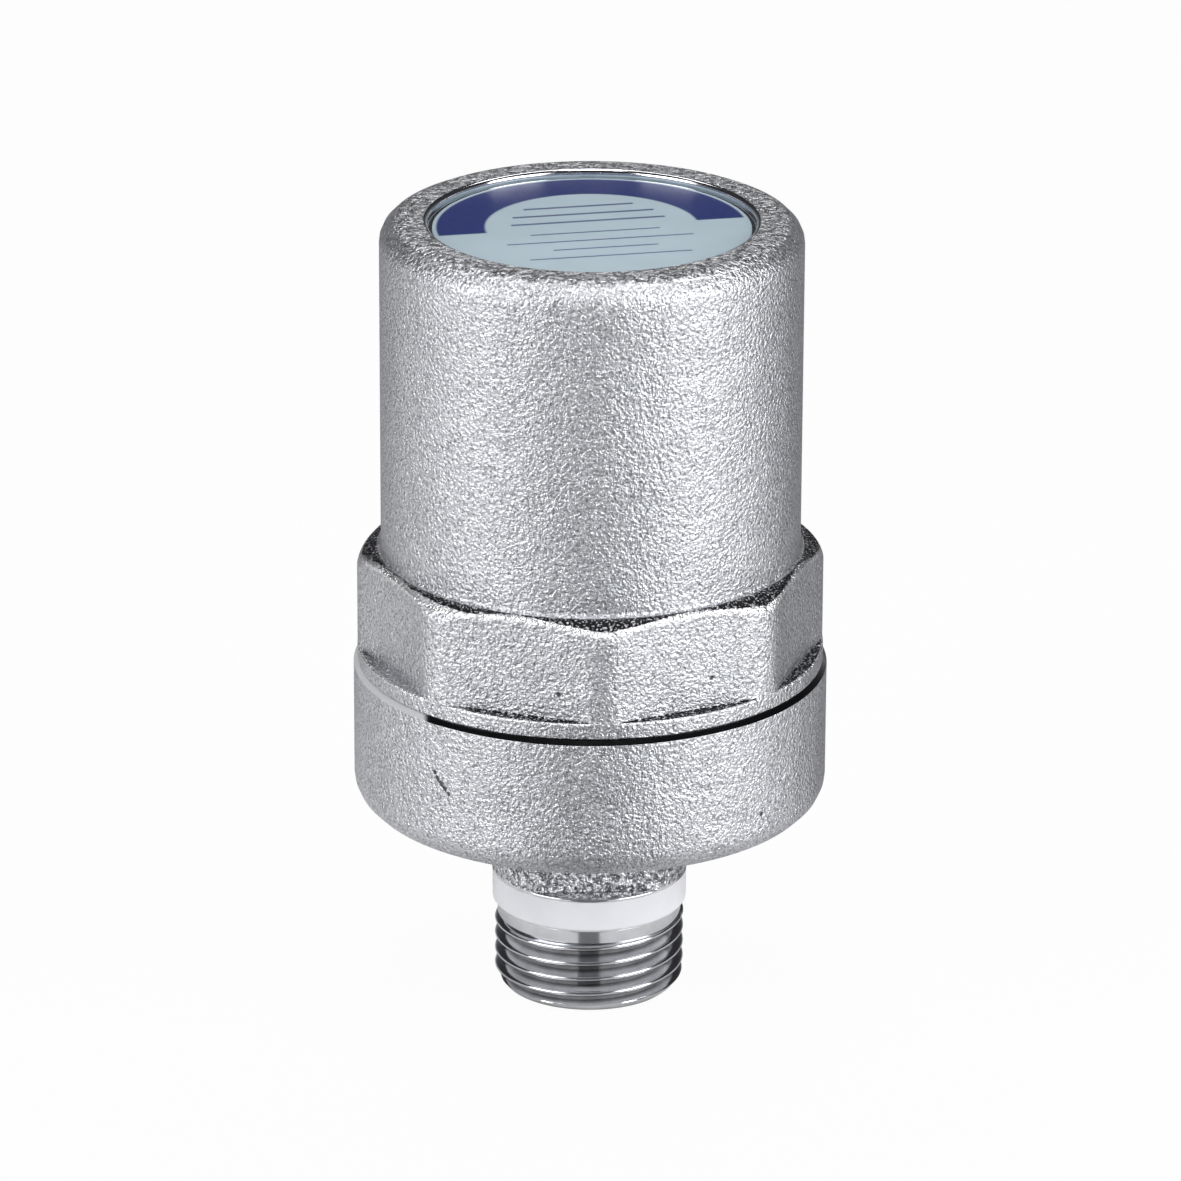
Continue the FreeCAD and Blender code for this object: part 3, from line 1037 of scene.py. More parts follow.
class SpringTree(Tree):
    """A compression spring with closed ends ground flat."""

    def __init__(self) -> None:
        """Builds the tree: a helix whose pitch changes at its ends, swept with the wire's round."""
        super().__init__("compression_spring")
        graph = self.graph
        points, = self.inputs("Int", "Points")
        radius, wire, foot, top, tip, end_turns, active, end_pitch = self.inputs(
            "Float", "Mean Radius", "Wire Radius", "Foot", "Top", "Tip", "End Turns", "Active Turns",
            "End Pitch")
        wire_corners = 20
        start = foot + tip - wire
        finish = top - tip + wire
        pitch = (finish - start - end_turns * end_pitch * 2) / active
        strand = graph.node("GeometryNodeMeshLine", {"mode": "OFFSET"}, {"Count": points})
        index = Value(graph, graph.node("GeometryNodeInputIndex").outputs[0])
        along = index / (points - 1) * (active + end_turns * 2)
        lower = along.at_most(end_turns)
        upper = (along - end_turns - active).at_least(0.0)
        height = start + (lower + upper) * end_pitch + (along - lower - upper) * pitch
        coil = self.moved(strand.outputs[0], self.round_place(radius, along * (2 * math.pi), height))
        curve = graph.node("GeometryNodeMeshToCurve", None, {0: coil})
        upright = graph.node("GeometryNodeSetCurveNormal", {"mode": "Z_UP"}, {0: curve.outputs[0]})
        round_wire = graph.node("GeometryNodeCurvePrimitiveCircle", None, {
            "Resolution": wire_corners, "Radius": wire})
        swept = graph.node("GeometryNodeCurveToMesh", None, {
            "Curve": upright.outputs[0], "Profile Curve": round_wire.outputs[0], "Fill Caps": True})
        x, y, z = graph.axes(graph.node("GeometryNodeInputPosition").outputs[0])
        self.close(self.moved(swept.outputs[0], graph.joined(x, y, z.at_least(foot).at_most(top))))


# ---------------------------------------------------------------- sub-assemblies


@dataclass(frozen=True)
class Finishes:
    """The materials that the sub-assemblies share."""

    casing: bpy.types.Material
    cup: bpy.types.Material
    turned: bpy.types.Material
    white: bpy.types.Material
    rubber: bpy.types.Material
    black: bpy.types.Material
    steel: bpy.types.Material

    @classmethod
    def mixed(cls) -> "Finishes":
        """Makes each material once."""
        return cls(
            casing=BlastedPlating("blasted_casing_plating", pits=CASING_PITS, nooks=WrenchNooks()).build(),
            cup=BlastedPlating("blasted_cup_plating", pits=CUP_PITS, rough_zone=(22.3, 21.3)).build(),
            turned=TurnedPlating("turned_plating").build(),
            white=MouldedPlastic("white_seal_plastic", colour=(0.78, 0.785, 0.82)).build(),
            rubber=SealRubber("black_seal_rubber").build(),
            black=MouldedPlastic("black_piston_plastic", colour=(0.09, 0.09, 0.1), roughness=0.42).build(),
            steel=SpringSteel("drawn_spring_steel").build())


class SubAssembly:
    """Pieces that are built and dressed together."""

    def dress(self, piece: bpy.types.Object, body: Body, finish_slot: Slot, *nodes: str) -> None:
        """Ties a piece to its body and hides the CAD nodes that it stands for.

        Args:
            piece: The piece.
            body: The body it moves with.
            finish_slot: The record's finish; not used.
            nodes: The CAD nodes that it replaces.
        """
        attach(piece, body.value)
        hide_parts(*nodes)
        log.info("%s: %d faces, rides on %s", piece.name, len(piece.data.polygons), body.value)

    def make(self, lathe: LatheTree, finishes: Finishes) -> None:
        """Builds and dresses the sub-assembly's pieces.

        Args:
            lathe: The tree that turns round pieces.
            finishes: The materials.
        """
        raise NotImplementedError


@dataclass
class Casing(SubAssembly):
    """The forged upper casing: spigot, collar, wrench section, cylinder and label recess."""

    bore_r: float = 19.5
    bore_lead: Point = (0.45, 1.2)
    bore_top_z: float = SHARED.bore_top_z
    guide_r: float = SHARED.guide_r
    guide_height: float = 4.0
    guide_chamfer: float = SHARED.guide_chamfer
    nose_z: float = 26.0
    nose_r: float = 20.9
    nose_chamfer: float = 0.45
    gland_z: float = 31.45
    spigot_r: float = 22.8
    spigot_relief: float = 0.8
    rim_z: float = SHARED.seam_z
    collar_r: float = SHARED.collar_r
    wrench_z: float = SHARED.wrench_z
    ledge_z: float = SHARED.ledge_z
    flat_r: float = 24.0
    flat_edge: float = 0.6
    corner_edge: float = 2.2
    corner_turn: float = SHARED.corner_turn
    crease: float = 0.38
    facets: int = SHARED.facets
    cylinder_r: float = 22.93
    foot_flare: float = 0.25
    shoulder: float = 2.9
    top_z: float = SHARED.top_z
    recess_r: float = 17.7
    recess_z: float = SHARED.recess_z
    recess_lip: float = 0.45
    collar_foot: float = 0.22
    crescent_edge: float = 0.16
    crescent_foot: float = 0.12
    thinnest: float = 0.03
    flat_foot: float = 0.45
    flare_edge: float = 0.35
    bright_margin: float = 0.5
    bright_foot: float = 0.12
    columns: int = 480
    edge_rows: int = 6
    foot_rows: int = 5
    flat_rows: int = 9
    corner_rows: int = 26

    def from_flat(self, angles: np.ndarray) -> np.ndarray:
        """The cosine of each column's angle from the middle of its own flat.

        Args:
            angles: The columns' angles.

        Returns:
            The cosines.
        """
        step = 2 * math.pi / self.facets
        corner = math.radians(self.corner_turn - 90)
        return np.cos((angles - corner) % step - step / 2)

    def inside(self) -> Outline:
        """The guide boss, the bore and the spigot, from the axis to the collar's underside."""
        foot = self.bore_top_z - self.guide_height
        thread_low = self.gland_z + self.spigot_relief
        return rounded([
            (0, foot, 0), (self.guide_r - self.guide_chamfer, foot, FINE),
            (self.guide_r, foot + self.guide_chamfer, FINE), (self.guide_r, self.bore_top_z, DEEP),
            (self.bore_r, self.bore_top_z, DEEP), (self.bore_r, self.nose_z + self.bore_lead[1], FINE),
            (self.bore_r + self.bore_lead[0], self.nose_z, CRISP),
            (self.nose_r - self.nose_chamfer, self.nose_z, CRISP),
            (self.nose_r, self.nose_z + self.nose_chamfer, CRISP), (self.nose_r, self.gland_z, FINE),
            (self.spigot_r - self.spigot_relief, self.gland_z, FINE), (self.spigot_r, thread_low, FINE),
            (self.spigot_r, self.rim_z - self.spigot_relief, FINE),
            (self.spigot_r - self.spigot_relief, self.rim_z - self.spigot_relief, FINE),
            (self.spigot_r - self.spigot_relief, self.rim_z, 0)])

    def add_collar(self, rows: Rows) -> None:
        """Adds the collar's rows, whose upper edge runs into the crescents at the flats' feet.

        Args:
            rows: The rows of the piece so far.
        """
        rows.follow(rounded([(self.spigot_r, self.rim_z, 0), (self.collar_r, self.rim_z, self.collar_foot),
                             (self.collar_r, self.wrench_z, 0)])[1:-1])
        chord = self.flat_r / self.from_flat(rows.angles)
        lower = soft_least(np.full_like(chord, self.collar_r), chord, self.crease)
        depth = np.maximum(self.collar_r - lower, self.thinnest)
        outer, inner = np.minimum(self.crescent_edge, depth / 2), np.minimum(self.crescent_foot, depth / 2)
        neighbour = 1.3
        rows.add(self.collar_r, self.wrench_z - outer * neighbour)
        for turn in np.linspace(0, math.pi / 2, self.edge_rows):
            rows.add(self.collar_r - outer + outer * math.cos(turn),
                     self.wrench_z - outer + outer * math.sin(turn))
        for turn in np.linspace(0, math.pi / 2, self.foot_rows):
            rows.add(self.collar_r - depth + inner - inner * math.sin(turn),
                     self.wrench_z + inner - inner * math.cos(turn))

    def add_wrench_section(self, rows: Rows) -> None:
        """Adds the wrench section's rows: flats on a round blank, with rounded corners and edges.

        Args:
            rows: The rows of the piece so far.
        """
        shoulder_z = self.ledge_z - self.corner_edge
        first_turn = 0.06
        turns = np.linspace(first_turn, math.pi / 2, self.corner_rows)
        levels = [*np.linspace(self.wrench_z + self.flat_foot, shoulder_z, self.flat_rows),
                  *(shoulder_z + self.corner_edge * np.sin(turns))]
        for level in levels:
            over = max(0.0, level - shoulder_z)
            blank = self.collar_r - self.corner_edge + math.sqrt(max(0.0, self.corner_edge ** 2 - over ** 2))
            past = max(0.0, level - (self.ledge_z - self.flat_edge))
            drop = self.flat_edge - math.sqrt(max(0.0, self.flat_edge ** 2 - past ** 2))
            facet = (self.flat_r - drop) / self.from_flat(rows.angles)
            rows.add(np.maximum(soft_least(np.full_like(facet, blank), facet, self.crease),
                                self.cylinder_r + self.foot_flare), level)

    def top(self) -> Outline:
        """The cylinder, its shoulder and the label recess, to the axis."""
        return rounded([
            (self.cylinder_r + self.foot_flare, self.ledge_z, 0.0),
            (self.cylinder_r, self.ledge_z + self.foot_flare, self.flare_edge),
            (self.cylinder_r, self.top_z, self.shoulder), (self.recess_r, self.top_z, self.recess_lip),
            (self.recess_r, self.recess_z, SOFT), (0, self.recess_z, 0)])

    def make(self, lathe: LatheTree, finishes: Finishes) -> None:
        """Builds and dresses the casing.

        Args:
            lathe: The tree that turns round pieces; not used.
            finishes: The materials.
        """
        rows = Rows(self.columns)
        rows.follow(self.inside())
        self.add_collar(rows)
        self.add_wrench_section(rows)
        rows.follow(self.top()[1:])
        mesh = rows.shell("upper_casing_shape", closed=False)
        paint_rows(mesh, (finishes.casing, finishes.turned), self.finish_of)
        self.dress(finished("forged_casing", mesh), Body.CASING, Slot.CASING, "upper_casing")

    def finish_of(self, radius: np.ndarray, height: np.ndarray) -> np.ndarray:
        """Chooses bright plating for the bore, the spigot, the collar's underside and the label recess.

        Args:
            radius: The faces' radii.
            height: The faces' heights.

        Returns:
            One for the turned finish, nought for the blasted one.
        """
        below_recess = height < self.recess_z - self.bright_margin
        inner = (radius < self.bore_r + self.bright_margin) & below_recess
        spigot = height < self.rim_z + self.bright_foot
        recess = (radius < self.recess_r + self.recess_lip) & ~below_recess
        return (inner | spigot | recess).astype(int)


@dataclass
class Cup(SubAssembly):
    """The base cup with its neck and inlet nipple."""

    core_r: float = SHARED.core_r
    thread_z: float = SHARED.thread_z
    land_r: float = 10.1975
    seat_z: float = SHARED.seat_z
    groove_r: float = 9.2975
    neck_z: float = SHARED.neck_z
    neck_r: float = 10.8
    ledge: float = 0.35
    flats_half: float = 8.2
    flats_turn: float = 5.0
    neck_fillet: float = 2.0
    cup_z: float = 22.3
    cup_r: float = 25.985
    corner: float = 3.0
    rim_z: float = SHARED.seam_z
    rim_chamfer: float = 0.5
    socket_r: float = 22.95
    ring_seat_z: float = 29.4
    lower_r: float = 21.05
    floor_z: float = SHARED.floor_z
    mouth_r: float = 9.2
    bore_r: float = 5.5
    bore_chamfer: float = 0.6
    inlet_z: float = 3.0
    end_z: float = 0.02
    core_edge: float = 0.02
    rim_edge: float = 0.08
    flats_ease: float = 0.12
    columns: int = 480

    def nipple(self) -> Outline:
        """From the inlet's edge up to the neck's ledge."""
        return rounded([
            (self.bore_r, self.inlet_z, 0), (self.bore_r, self.bore_chamfer, CRISP),
            (self.bore_r + self.bore_chamfer, self.end_z, CRISP), (self.core_r, self.end_z, self.core_edge),
            (self.core_r, self.thread_z, self.core_edge), (self.land_r, self.thread_z, SOFT),
            (self.land_r, self.seat_z, SOFT), (self.groove_r, self.seat_z, CRISP),
            (self.groove_r, self.neck_z, CRISP), (self.neck_r, self.neck_z, FINE),
            (self.neck_r, self.neck_z + self.ledge, 0)])

    def cup(self) -> Outline:
        """From the fillet at the neck's root over the cup to the inlet bore."""
        return rounded([
            (self.neck_r + self.neck_fillet, self.cup_z, 0), (self.cup_r, self.cup_z, self.corner),
            (self.cup_r, self.rim_z - self.rim_chamfer, SOFT),
            (self.cup_r - self.rim_chamfer, self.rim_z, self.rim_edge), (self.socket_r, self.rim_z, FINE),
            (self.socket_r, self.ring_seat_z, FINE), (self.lower_r, self.ring_seat_z, FINE),
            (self.lower_r, self.floor_z, DEEP), (self.mouth_r, self.floor_z, DEEP),
            (self.bore_r, self.floor_z + self.bore_r - self.mouth_r, DEEP), (self.bore_r, self.inlet_z, 0)])

    def add_neck(self, rows: Rows) -> None:
        """Adds the neck's rows: a round with two wrench flats, from its ledge to the fillet at its root.

        Args:
            rows: The rows of the piece so far.
        """
        least_sine, low_rise, low_depth, high_rise, high_depth = 0.05, 0.35, 0.3, 0.5, 0.5
        ledge_rows, wall_rows, fillet_steps, first_gap, wall_gaps = 4, 6, 8, 0.02, (1.0, 0.1)
        away = np.abs(np.sin(rows.angles - math.radians(self.flats_turn)))
        chord = self.flats_half / np.maximum(away, least_sine)
        full = np.full_like(chord, self.neck_r)
        low = self.neck_z + self.ledge
        depth = np.maximum(full - soft_least(full, chord, self.flats_ease), 0.0)
        ease = np.minimum(self.flats_ease, depth / 2)
        for turn in np.linspace(0, math.pi / 2, ledge_rows):
            rows.add(self.neck_r - ease + ease * math.cos(turn), low - ease + ease * math.sin(turn))
        fillet_z = self.cup_z - self.neck_fillet
        wall = np.linspace(low + wall_gaps[0], fillet_z - wall_gaps[1], wall_rows)
        for level in [low + first_gap, low + low_rise, *wall]:
            extra = low_depth * max(0.0, 1 - (level - low) / low_rise) ** 2
            rows.add(np.minimum(self.neck_r, soft_least(full, chord + extra, self.flats_ease)), level)
        centre = (self.neck_r + self.neck_fillet, fillet_z)
        for radius, height in arc_points(centre, self.neck_fillet, 180, 90, fillet_steps):
            extra = high_depth * max(0.0, 1 - (self.cup_z - height) / high_rise) ** 2
            rows.add(soft_least(np.full_like(chord, radius), chord + extra, self.flats_ease), height)

    def make(self, lathe: LatheTree, finishes: Finishes) -> None:
        """Builds and dresses the cup.

        Args:
            lathe: The tree that turns round pieces; not used.
            finishes: The materials.
        """
        rows = Rows(self.columns)
        rows.follow(self.nipple()[:-1])
        self.add_neck(rows)
        rows.follow(self.cup()[:-1])
        mesh = rows.shell("base_cup_shape", closed=True)
        paint_rows(mesh, (finishes.cup, finishes.turned), self.finish_of)
        self.dress(finished("forged_cup", mesh), Body.CASING, Slot.CUP, "base_cup")

    def finish_of(self, radius: np.ndarray, height: np.ndarray) -> np.ndarray:
        """Chooses bright plating for the nipple, the neck's ledge, the rim and all that is inside.

        Args:
            radius: The faces' radii.
            height: The faces' heights.

        Returns:
            One for the turned finish, nought for the blasted one.
        """
        ledge_margin, rim_margin, socket_margin, bore_margin = 0.01, 0.02, 0.1, 0.5
        nipple = height < self.neck_z + self.ledge + ledge_margin
        rim = height > self.rim_z - self.rim_chamfer - rim_margin
        inner = (radius < self.socket_r + socket_margin) & (height > self.cup_z + self.corner)
        bore = radius < self.flats_half - bore_margin
        return (nipple | rim | inner | bore).astype(int)


@dataclass
class PipeThread(SubAssembly):
    """The nipple's parallel pipe thread, G 1/2."""

    pitch: float = 1.814
    length: float = SHARED.thread_z
    crest_r: float = 10.4775
    root_r: float = 9.3155
    inner_r: float = SHARED.core_r
    chamfer_run: float = 1.0
    chamfer_rise: float = 1.2
    rounding: float = 0.249
    columns: int = 240
    rows_a_turn: int = 22
    turns: int = 6

    def make(self, lathe: LatheTree, finishes: Finishes) -> None:
        """Builds and dresses the thread.

        Args:
            lathe: The tree that turns round pieces; not used.
            finishes: The materials.
        """
        thread = ThreadTree().run("nipple_thread", {
            "Columns": self.columns, "Rows a Turn": self.rows_a_turn, "Turns": self.turns,
            "Pitch": self.pitch * MM, "Length": self.length * MM, "Crest Radius": self.crest_r * MM,
            "Root Radius": self.root_r * MM, "Inner Radius": self.inner_r * MM,
            "Chamfer Run": self.chamfer_run * MM, "Chamfer Rise": self.chamfer_rise * MM,
            "Rounding": self.rounding * MM, "Finish": finishes.turned})
        self.dress(thread, Body.CASING, Slot.CUP)


@dataclass
class Seals(SubAssembly):
    """The white ring on the nipple and the rubber rings."""

    ring_inner_r: float = 9.3475
    ring_outer_r: float = 10.7475
    ring_low: float = SHARED.seat_z
    ring_high: float = SHARED.neck_z
    ring_chamfer: float = 0.35
    ring_edge: float = 0.14
    section_steps: int = 24
    section_sharp: float = 60.0
    body_ring: tuple[float, float, float] = (21.925, 30.425, 1.0)
    piston_rings: tuple[tuple[str, float, float, float], ...] = (
        ("lower", 18.11, SHARED.ring_z[0], 1.31), ("upper", 18.11, SHARED.ring_z[1], 1.31))

    def make(self, lathe: LatheTree, finishes: Finishes) -> None:
        """Builds and dresses the four rings.

        Args:
            lathe: The tree that turns round pieces.
            finishes: The materials.
        """
        self.dress(self.white_ring(lathe, finishes.white), Body.CASING, Slot.SEAL, "thread_seal_ring")
        ring = self.rubber_ring(lathe, "casing_rubber_ring", self.body_ring, finishes.rubber)
        self.dress(ring, Body.CASING, Slot.RUBBER, "casing_o_ring")
        for place, *sizes in self.piston_rings:
            ring = self.rubber_ring(lathe, f"piston_rubber_ring_{place}", sizes, finishes.rubber)
            self.dress(ring, Body.PISTON, Slot.RUBBER, f"piston_o_ring_{place}")

    def white_ring(self, lathe: LatheTree, finish: bpy.types.Material) -> bpy.types.Object:
        """Makes the sealing ring on the nipple."""
        outline = rounded([
            (self.ring_inner_r, self.ring_low, CRISP),
            (self.ring_outer_r - self.ring_chamfer, self.ring_low, FINE),
            (self.ring_outer_r, self.ring_low + self.ring_chamfer, EASY),
            (self.ring_outer_r, self.ring_high, self.ring_edge),
            (self.ring_inner_r, self.ring_high, CRISP)], closed=True)
        return lathe.turn("nipple_seal_ring", outline, finish)

    def rubber_ring(self, lathe: LatheTree, name: str, sizes: Sequence[float],
                    finish: bpy.types.Material) -> bpy.types.Object:
        """Makes a rubber ring from its mean radius, the height of its middle and its section radius."""
        mean, height, section = sizes
        outline = arc_points((mean, height), section, 0, 360, self.section_steps)[:-1]
        return lathe.turn(name, outline, finish, sharp=self.section_sharp)


@dataclass
class Label(SubAssembly):
    """The disc in the casing's top recess."""

    radius: float = 17.2
    low: float = SHARED.recess_z
    lift: float = 0.001
    thickness: float = 0.25
    edge: float = 0.06
    columns: int = 256

    def make(self, lathe: LatheTree, finishes: Finishes) -> None:
        """Builds and dresses the label.

        Args:
            lathe: The tree that turns round pieces.
            finishes: The materials.
        """
        low, high = self.low + self.lift, self.low + self.thickness
        corner = (self.radius - self.edge, high - self.edge)
        outline = [(0.0, low), (self.radius, low), *arc_points(corner, self.edge, 0, 90, 3), (0.0, high)]
        finish = PrintedLabel("printed_label_film", self.radius * MM).build()
        disc = lathe.turn("round_label", outline, finish, self.columns)
        self.dress(disc, Body.CASING, Slot.LABEL, "label_disc")


@dataclass
class Piston(SubAssembly):
    """The moulded piston that slides in the bore."""

    low: float = SHARED.floor_z
    high: float = 40.7
    radius: float = 19.2
    edge: float = 0.7
    water_r: float = 15.4
    pocket: float = 3.0
    groove_floor_r: float = 16.75
    groove_half: float = 1.56
    grooves: Point = SHARED.ring_z
    crown_r: float = 14.2
    crown_edge: float = 0.25
    crown_z: float = SHARED.crown_z
    guide_r: float = SHARED.guide_r
    guide_chamfer: float = SHARED.guide_chamfer
    core_r: float = 7.0
    core_depth: float = 6.0
    columns: int = 160

    def make(self, lathe: LatheTree, finishes: Finishes) -> None:
        """Builds and dresses the piston.

        Args:
            lathe: The tree that turns round pieces.
            finishes: The materials.
        """
        corners = [(0, self.low + self.pocket, 0), (self.water_r, self.low + self.pocket, DEEP),
                   (self.water_r, self.low, EASY), (self.radius - self.edge, self.low, FINE),
                   (self.radius, self.low + self.edge, FINE)]
        for middle in self.grooves:
            corners += [(self.radius, middle - self.groove_half, SOFT),
                        (self.groove_floor_r, middle - self.groove_half, SOFT),
                        (self.groove_floor_r, middle + self.groove_half, SOFT),
                        (self.radius, middle + self.groove_half, SOFT)]
        corners += [(self.radius, self.high - self.edge, FINE), (self.radius - self.edge, self.high, FINE),
                    (self.crown_r, self.high, self.crown_edge), (self.crown_r, self.crown_z, EASY),
                    (self.guide_r, self.crown_z, EASY), (self.guide_r, self.high - self.guide_chamfer, FINE),
                    (self.guide_r - self.guide_chamfer, self.high, FINE), (self.core_r, self.high, EASY),
                    (self.core_r, self.high - self.core_depth, DEEP), (0, self.high - self.core_depth, 0)]
        piston = lathe.turn("moulded_piston", rounded(corners), finishes.black, self.columns)
        self.dress(piston, Body.PISTON, Slot.PLASTIC, "piston")


@dataclass
class Spring(SubAssembly):
    """The compression spring and its seat washer; keep, its shortest length over its longest, is not used.
    """

    mean_r: float = 12.4
    wire_r: float = 1.2
    foot: float = SHARED.washer_z
    top: float = SHARED.bore_top_z
    tip: float = 0.8
    end_turns: float = 1.0
    active_turns: float = 4.5
    end_pitch: float = 2.6
    points: int = 521
    sharp: float = 50.0
    washer_columns: int = 128
    washer: tuple[float, float, float, float] = (11.1, 13.9, SHARED.crown_z, SHARED.washer_z)
    keep: float = 25.4 / 47.4

    def make(self, lathe: LatheTree, finishes: Finishes) -> None:
        """Builds and dresses the washer and the spring.

        Args:
            lathe: The tree that turns round pieces.
            finishes: The materials.
        """
        self.dress(self.seat_washer(lathe, finishes.steel), Body.PISTON, Slot.STEEL, "spring_washer")
        coil = self.coil(finishes.steel)
        self.dress(coil, Body.CASING, Slot.STEEL, "spring")
        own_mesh(coil)

    def coil(self, finish: bpy.types.Material) -> bpy.types.Object:
        """Makes the spring."""
        return SpringTree().run("compression_spring", {
            "Points": self.points, "Mean Radius": self.mean_r * MM, "Wire Radius": self.wire_r * MM,
            "Foot": self.foot * MM, "Top": self.top * MM, "Tip": self.tip * MM,
            "End Turns": self.end_turns, "Active Turns": self.active_turns,
            "End Pitch": self.end_pitch * MM, "Finish": finish}, sharp=self.sharp)

    def seat_washer(self, lathe: LatheTree, finish: bpy.types.Material) -> bpy.types.Object:
        """Makes the washer that the spring stands on.

        Args:
            lathe: The tree that turns round pieces.
            finish: Its material.

        Returns:
            The washer.
        """
        inner, outer, low, high = self.washer
        outline = rounded([(inner, low, SOFT), (outer, low, SOFT), (outer, high, SOFT), (inner, high, SOFT)],
                          closed=True)
        return lathe.turn("spring_seat_washer", outline, finish, self.washer_columns)


# ---------------------------------------------------------------- studio


PAPER_ROUGHNESS = 0.9


@dataclass(frozen=True)
class Softbox:
    """A large soft lamp, placed by its bearing from the object; lengths in metres, angles in degrees."""

    name: str
    azimuth: float
    elevation: float
    distance: float
    width: float
    height: float
    radiance: float
    aim_z: float = 0.045

    def build(self) -> None:
        """Makes the lamp, facing the object. Azimuth 0 is in front, 90 on the right."""
        turn, lift = math.radians(self.azimuth), math.radians(self.elevation)
        lamp = bpy.data.lights.new(self.name, "AREA")
        lamp.shape = "RECTANGLE"
        lamp.size, lamp.size_y = self.width, self.height
        lamp.energy = self.radiance * math.pi * self.width * self.height
        holder = placed(self.name, lamp)
        holder.location = (self.distance * math.sin(turn) * math.cos(lift),
                           -self.distance * math.cos(turn) * math.cos(lift),
                           self.distance * math.sin(lift) + self.aim_z)
        holder.rotation_euler = (math.pi / 2 - lift, 0.0, turn)
        holder.visible_camera = False


def flat_sheet(name: str, rim: Sequence[Sequence[float]], material: bpy.types.Material) -> bpy.types.Object:
    """Makes a flat sheet from the points of its rim.

    Args:
        name: The sheet's name.
        rim: The points round it, in metres.
        material: Its finish.

    Returns:
        The sheet.
    """
    mesh = bpy.data.meshes.new(name)
    mesh.from_pydata(rim, [], [list(range(len(rim)))])
    mesh.materials.append(material)
    return placed(name, mesh)


@dataclass(frozen=True)
class Card:
    """A dark card lying on the floor, which only the metal's reflections show."""

    name: str
    azimuth: float
    spread: float
    near: float
    far: float
    colour: Colour
    lift: float = 0.0002

    def build(self) -> None:
        """Makes the card, a sector round the object. Azimuth 0 is in front, 90 on the right."""
        chords = 16
        turns = [math.radians(self.azimuth + self.spread * (2 * step / chords - 1))
                 for step in range(chords + 1)]
        rim = [(reach * math.sin(t), -reach * math.cos(t), self.lift)
               for reach, order in ((self.near, turns), (self.far, turns[::-1])) for t in order]
        graph = SurfaceGraph(self.name + "_paper")
        graph.surface(Base_Color=self.colour, Roughness=PAPER_ROUGHNESS)
        card = flat_sheet(self.name, rim, graph.material)
        card.visible_camera = card.visible_diffuse = card.visible_shadow = False


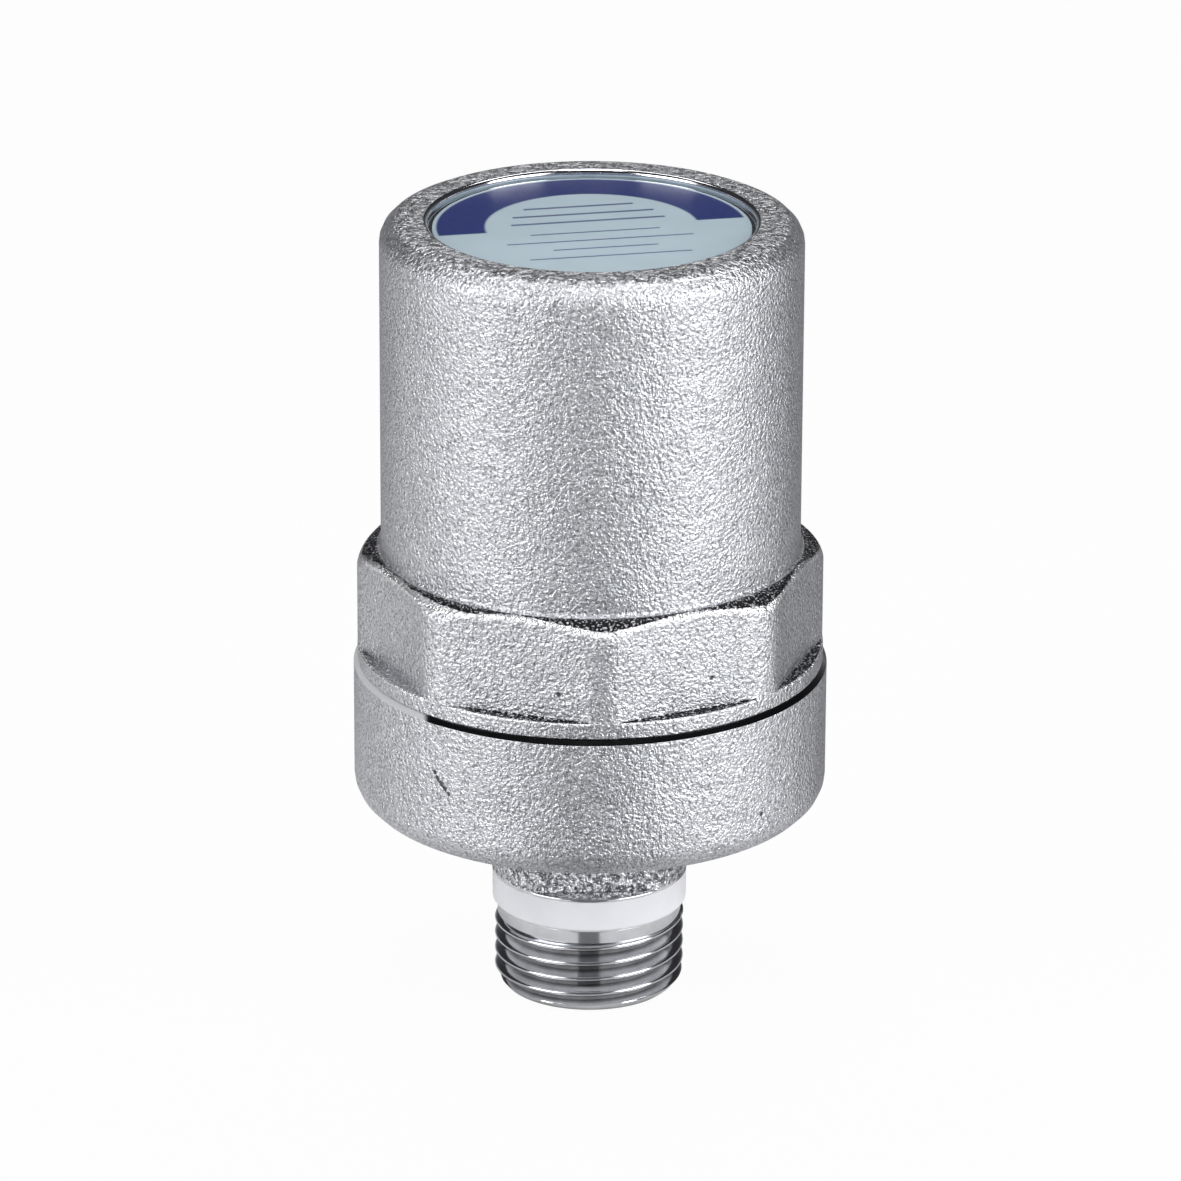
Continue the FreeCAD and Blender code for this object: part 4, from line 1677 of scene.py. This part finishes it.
@dataclass(frozen=True)
class Studio:
    """Floor, surroundings, lamps and camera."""

    floor_radius: float = 3.0
    floor_z: float = -0.0003
    floor_corners: int = 96
    floor_colour: Colour = (0.6, 0.6, 0.6)
    camera_share: float = 0.96
    mirror_share: float = 0.12
    cards: tuple[Card, ...] = (
        Card("nipple_card", 0.0, 11.0, 0.014, 0.036, (0.16, 0.16, 0.165)),
        Card("front_card", 0.0, 19.0, 0.036, 0.9, (0.12, 0.12, 0.125)),
        Card("rear_card", 166.0, 54.0, 0.03, 0.9, (0.18, 0.18, 0.19)),
    )
    camera_elevation: float = 20.8
    camera_roll: float = 0.25
    camera_distance: float = 0.8
    camera_aim: tuple[float, float, float] = (0.0, 0.0, 0.046)
    camera_focal: float = 222.6
    camera_range: Point = (0.01, 20.0)
    sensor_width: float = 36.0
    lamps: tuple[Softbox, ...] = (
        Softbox("left_softbox", -56.0, 20.0, 1.0, 0.75, 0.75, 4.1),
        Softbox("right_softbox", 56.0, 20.0, 1.0, 0.75, 0.75, 5.3),
        Softbox("top_lamp", 0.0, 88.0, 1.2, 0.4, 0.4, 12.0),
        Softbox("rear_softbox", 180.0, 62.0, 1.2, 1.3, 0.25, 4.0),
    )
    sky: tuple[tuple[float, Colour], ...] = (
        (0.50, (0.42, 0.42, 0.43)), (0.545, (0.2, 0.2, 0.21)), (0.60, (0.07, 0.07, 0.075)),
        (0.70, (0.03, 0.03, 0.033)))

    def build_floor(self) -> None:
        """Makes the pale floor, which shows white and keeps the object's shadow."""
        turns = [2 * math.pi * corner / self.floor_corners for corner in range(self.floor_corners)]
        rim = [(self.floor_radius * math.cos(turn), self.floor_radius * math.sin(turn), self.floor_z)
               for turn in turns]
        graph = SurfaceGraph("pale_floor")
        graph.surface(Base_Color=self.floor_colour, Roughness=PAPER_ROUGHNESS)
        path = graph.node("ShaderNodeLightPath")
        seen = Value(graph, path.outputs["Is Camera Ray"]) * self.camera_share
        mirrored = (Value(graph, path.outputs["Is Glossy Ray"])
                    + Value(graph, path.outputs["Is Transmission Ray"])) * self.mirror_share
        white = graph.node("ShaderNodeEmission", None, {"Color": (1.0, 1.0, 1.0), "Strength": 1.0})
        mixed = graph.node("ShaderNodeMixShader", None, {
            0: seen + mirrored, 1: graph.shader.outputs[0], 2: white.outputs[0]})
        graph.feed(graph.tree.nodes["Material Output"].inputs["Surface"], mixed.outputs[0])
        flat_sheet("floor", rim, graph.material)

    def build_surroundings(self) -> None:
        """Makes the pale horizon that darkens upwards."""
        world = bpy.data.worlds.new("studio")
        world.use_nodes = True
        graph = Graph(world.node_tree)
        direction = graph.node("ShaderNodeTexCoord").outputs["Generated"]
        _, _, rise = graph.axes(direction)
        ramp = graph.node("ShaderNodeValToRGB", {"stops": self.sky}, {0: rise * 0.5 + 0.5})
        graph.feed(graph.tree.nodes["Background"].inputs["Color"], ramp.outputs[0])
        bpy.context.scene.world = world

    def build_camera(self) -> None:
        """Makes the camera at the photograph's angle."""
        lift = math.radians(self.camera_elevation)
        lens = bpy.data.cameras.new("camera")
        lens.lens = self.camera_focal
        lens.sensor_width = self.sensor_width
        lens.clip_start, lens.clip_end = self.camera_range
        camera = placed("camera", lens)
        x, y, z = self.camera_aim
        camera.location = (x, y - self.camera_distance * math.cos(lift),
                           z + self.camera_distance * math.sin(lift))
        pitch = Matrix.Rotation(math.pi / 2 - lift, 3, "X")
        roll = Matrix.Rotation(math.radians(self.camera_roll), 3, "Z")
        camera.rotation_euler = (pitch @ roll).to_euler()
        bpy.context.scene.camera = camera

    def build(self) -> None:
        """Makes the whole studio."""
        self.build_floor()
        for card in self.cards:
            card.build()
        self.build_surroundings()
        for lamp in self.lamps:
            lamp.build()
        self.build_camera()
        bpy.context.scene.view_settings.view_transform = "Standard"


def main() -> None:
    """Builds and dresses the arrestor, then its studio."""
    logging.basicConfig(level=logging.INFO, format="%(message)s", stream=sys.stdout)
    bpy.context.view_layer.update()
    lathe, finishes = LatheTree(), Finishes.mixed()
    for part in (Casing(), Cup(), PipeThread(), Seals(), Label(), Piston(), Spring()):
        part.make(lathe, finishes)
    Studio().build()


if __name__ == "__main__":
    main()
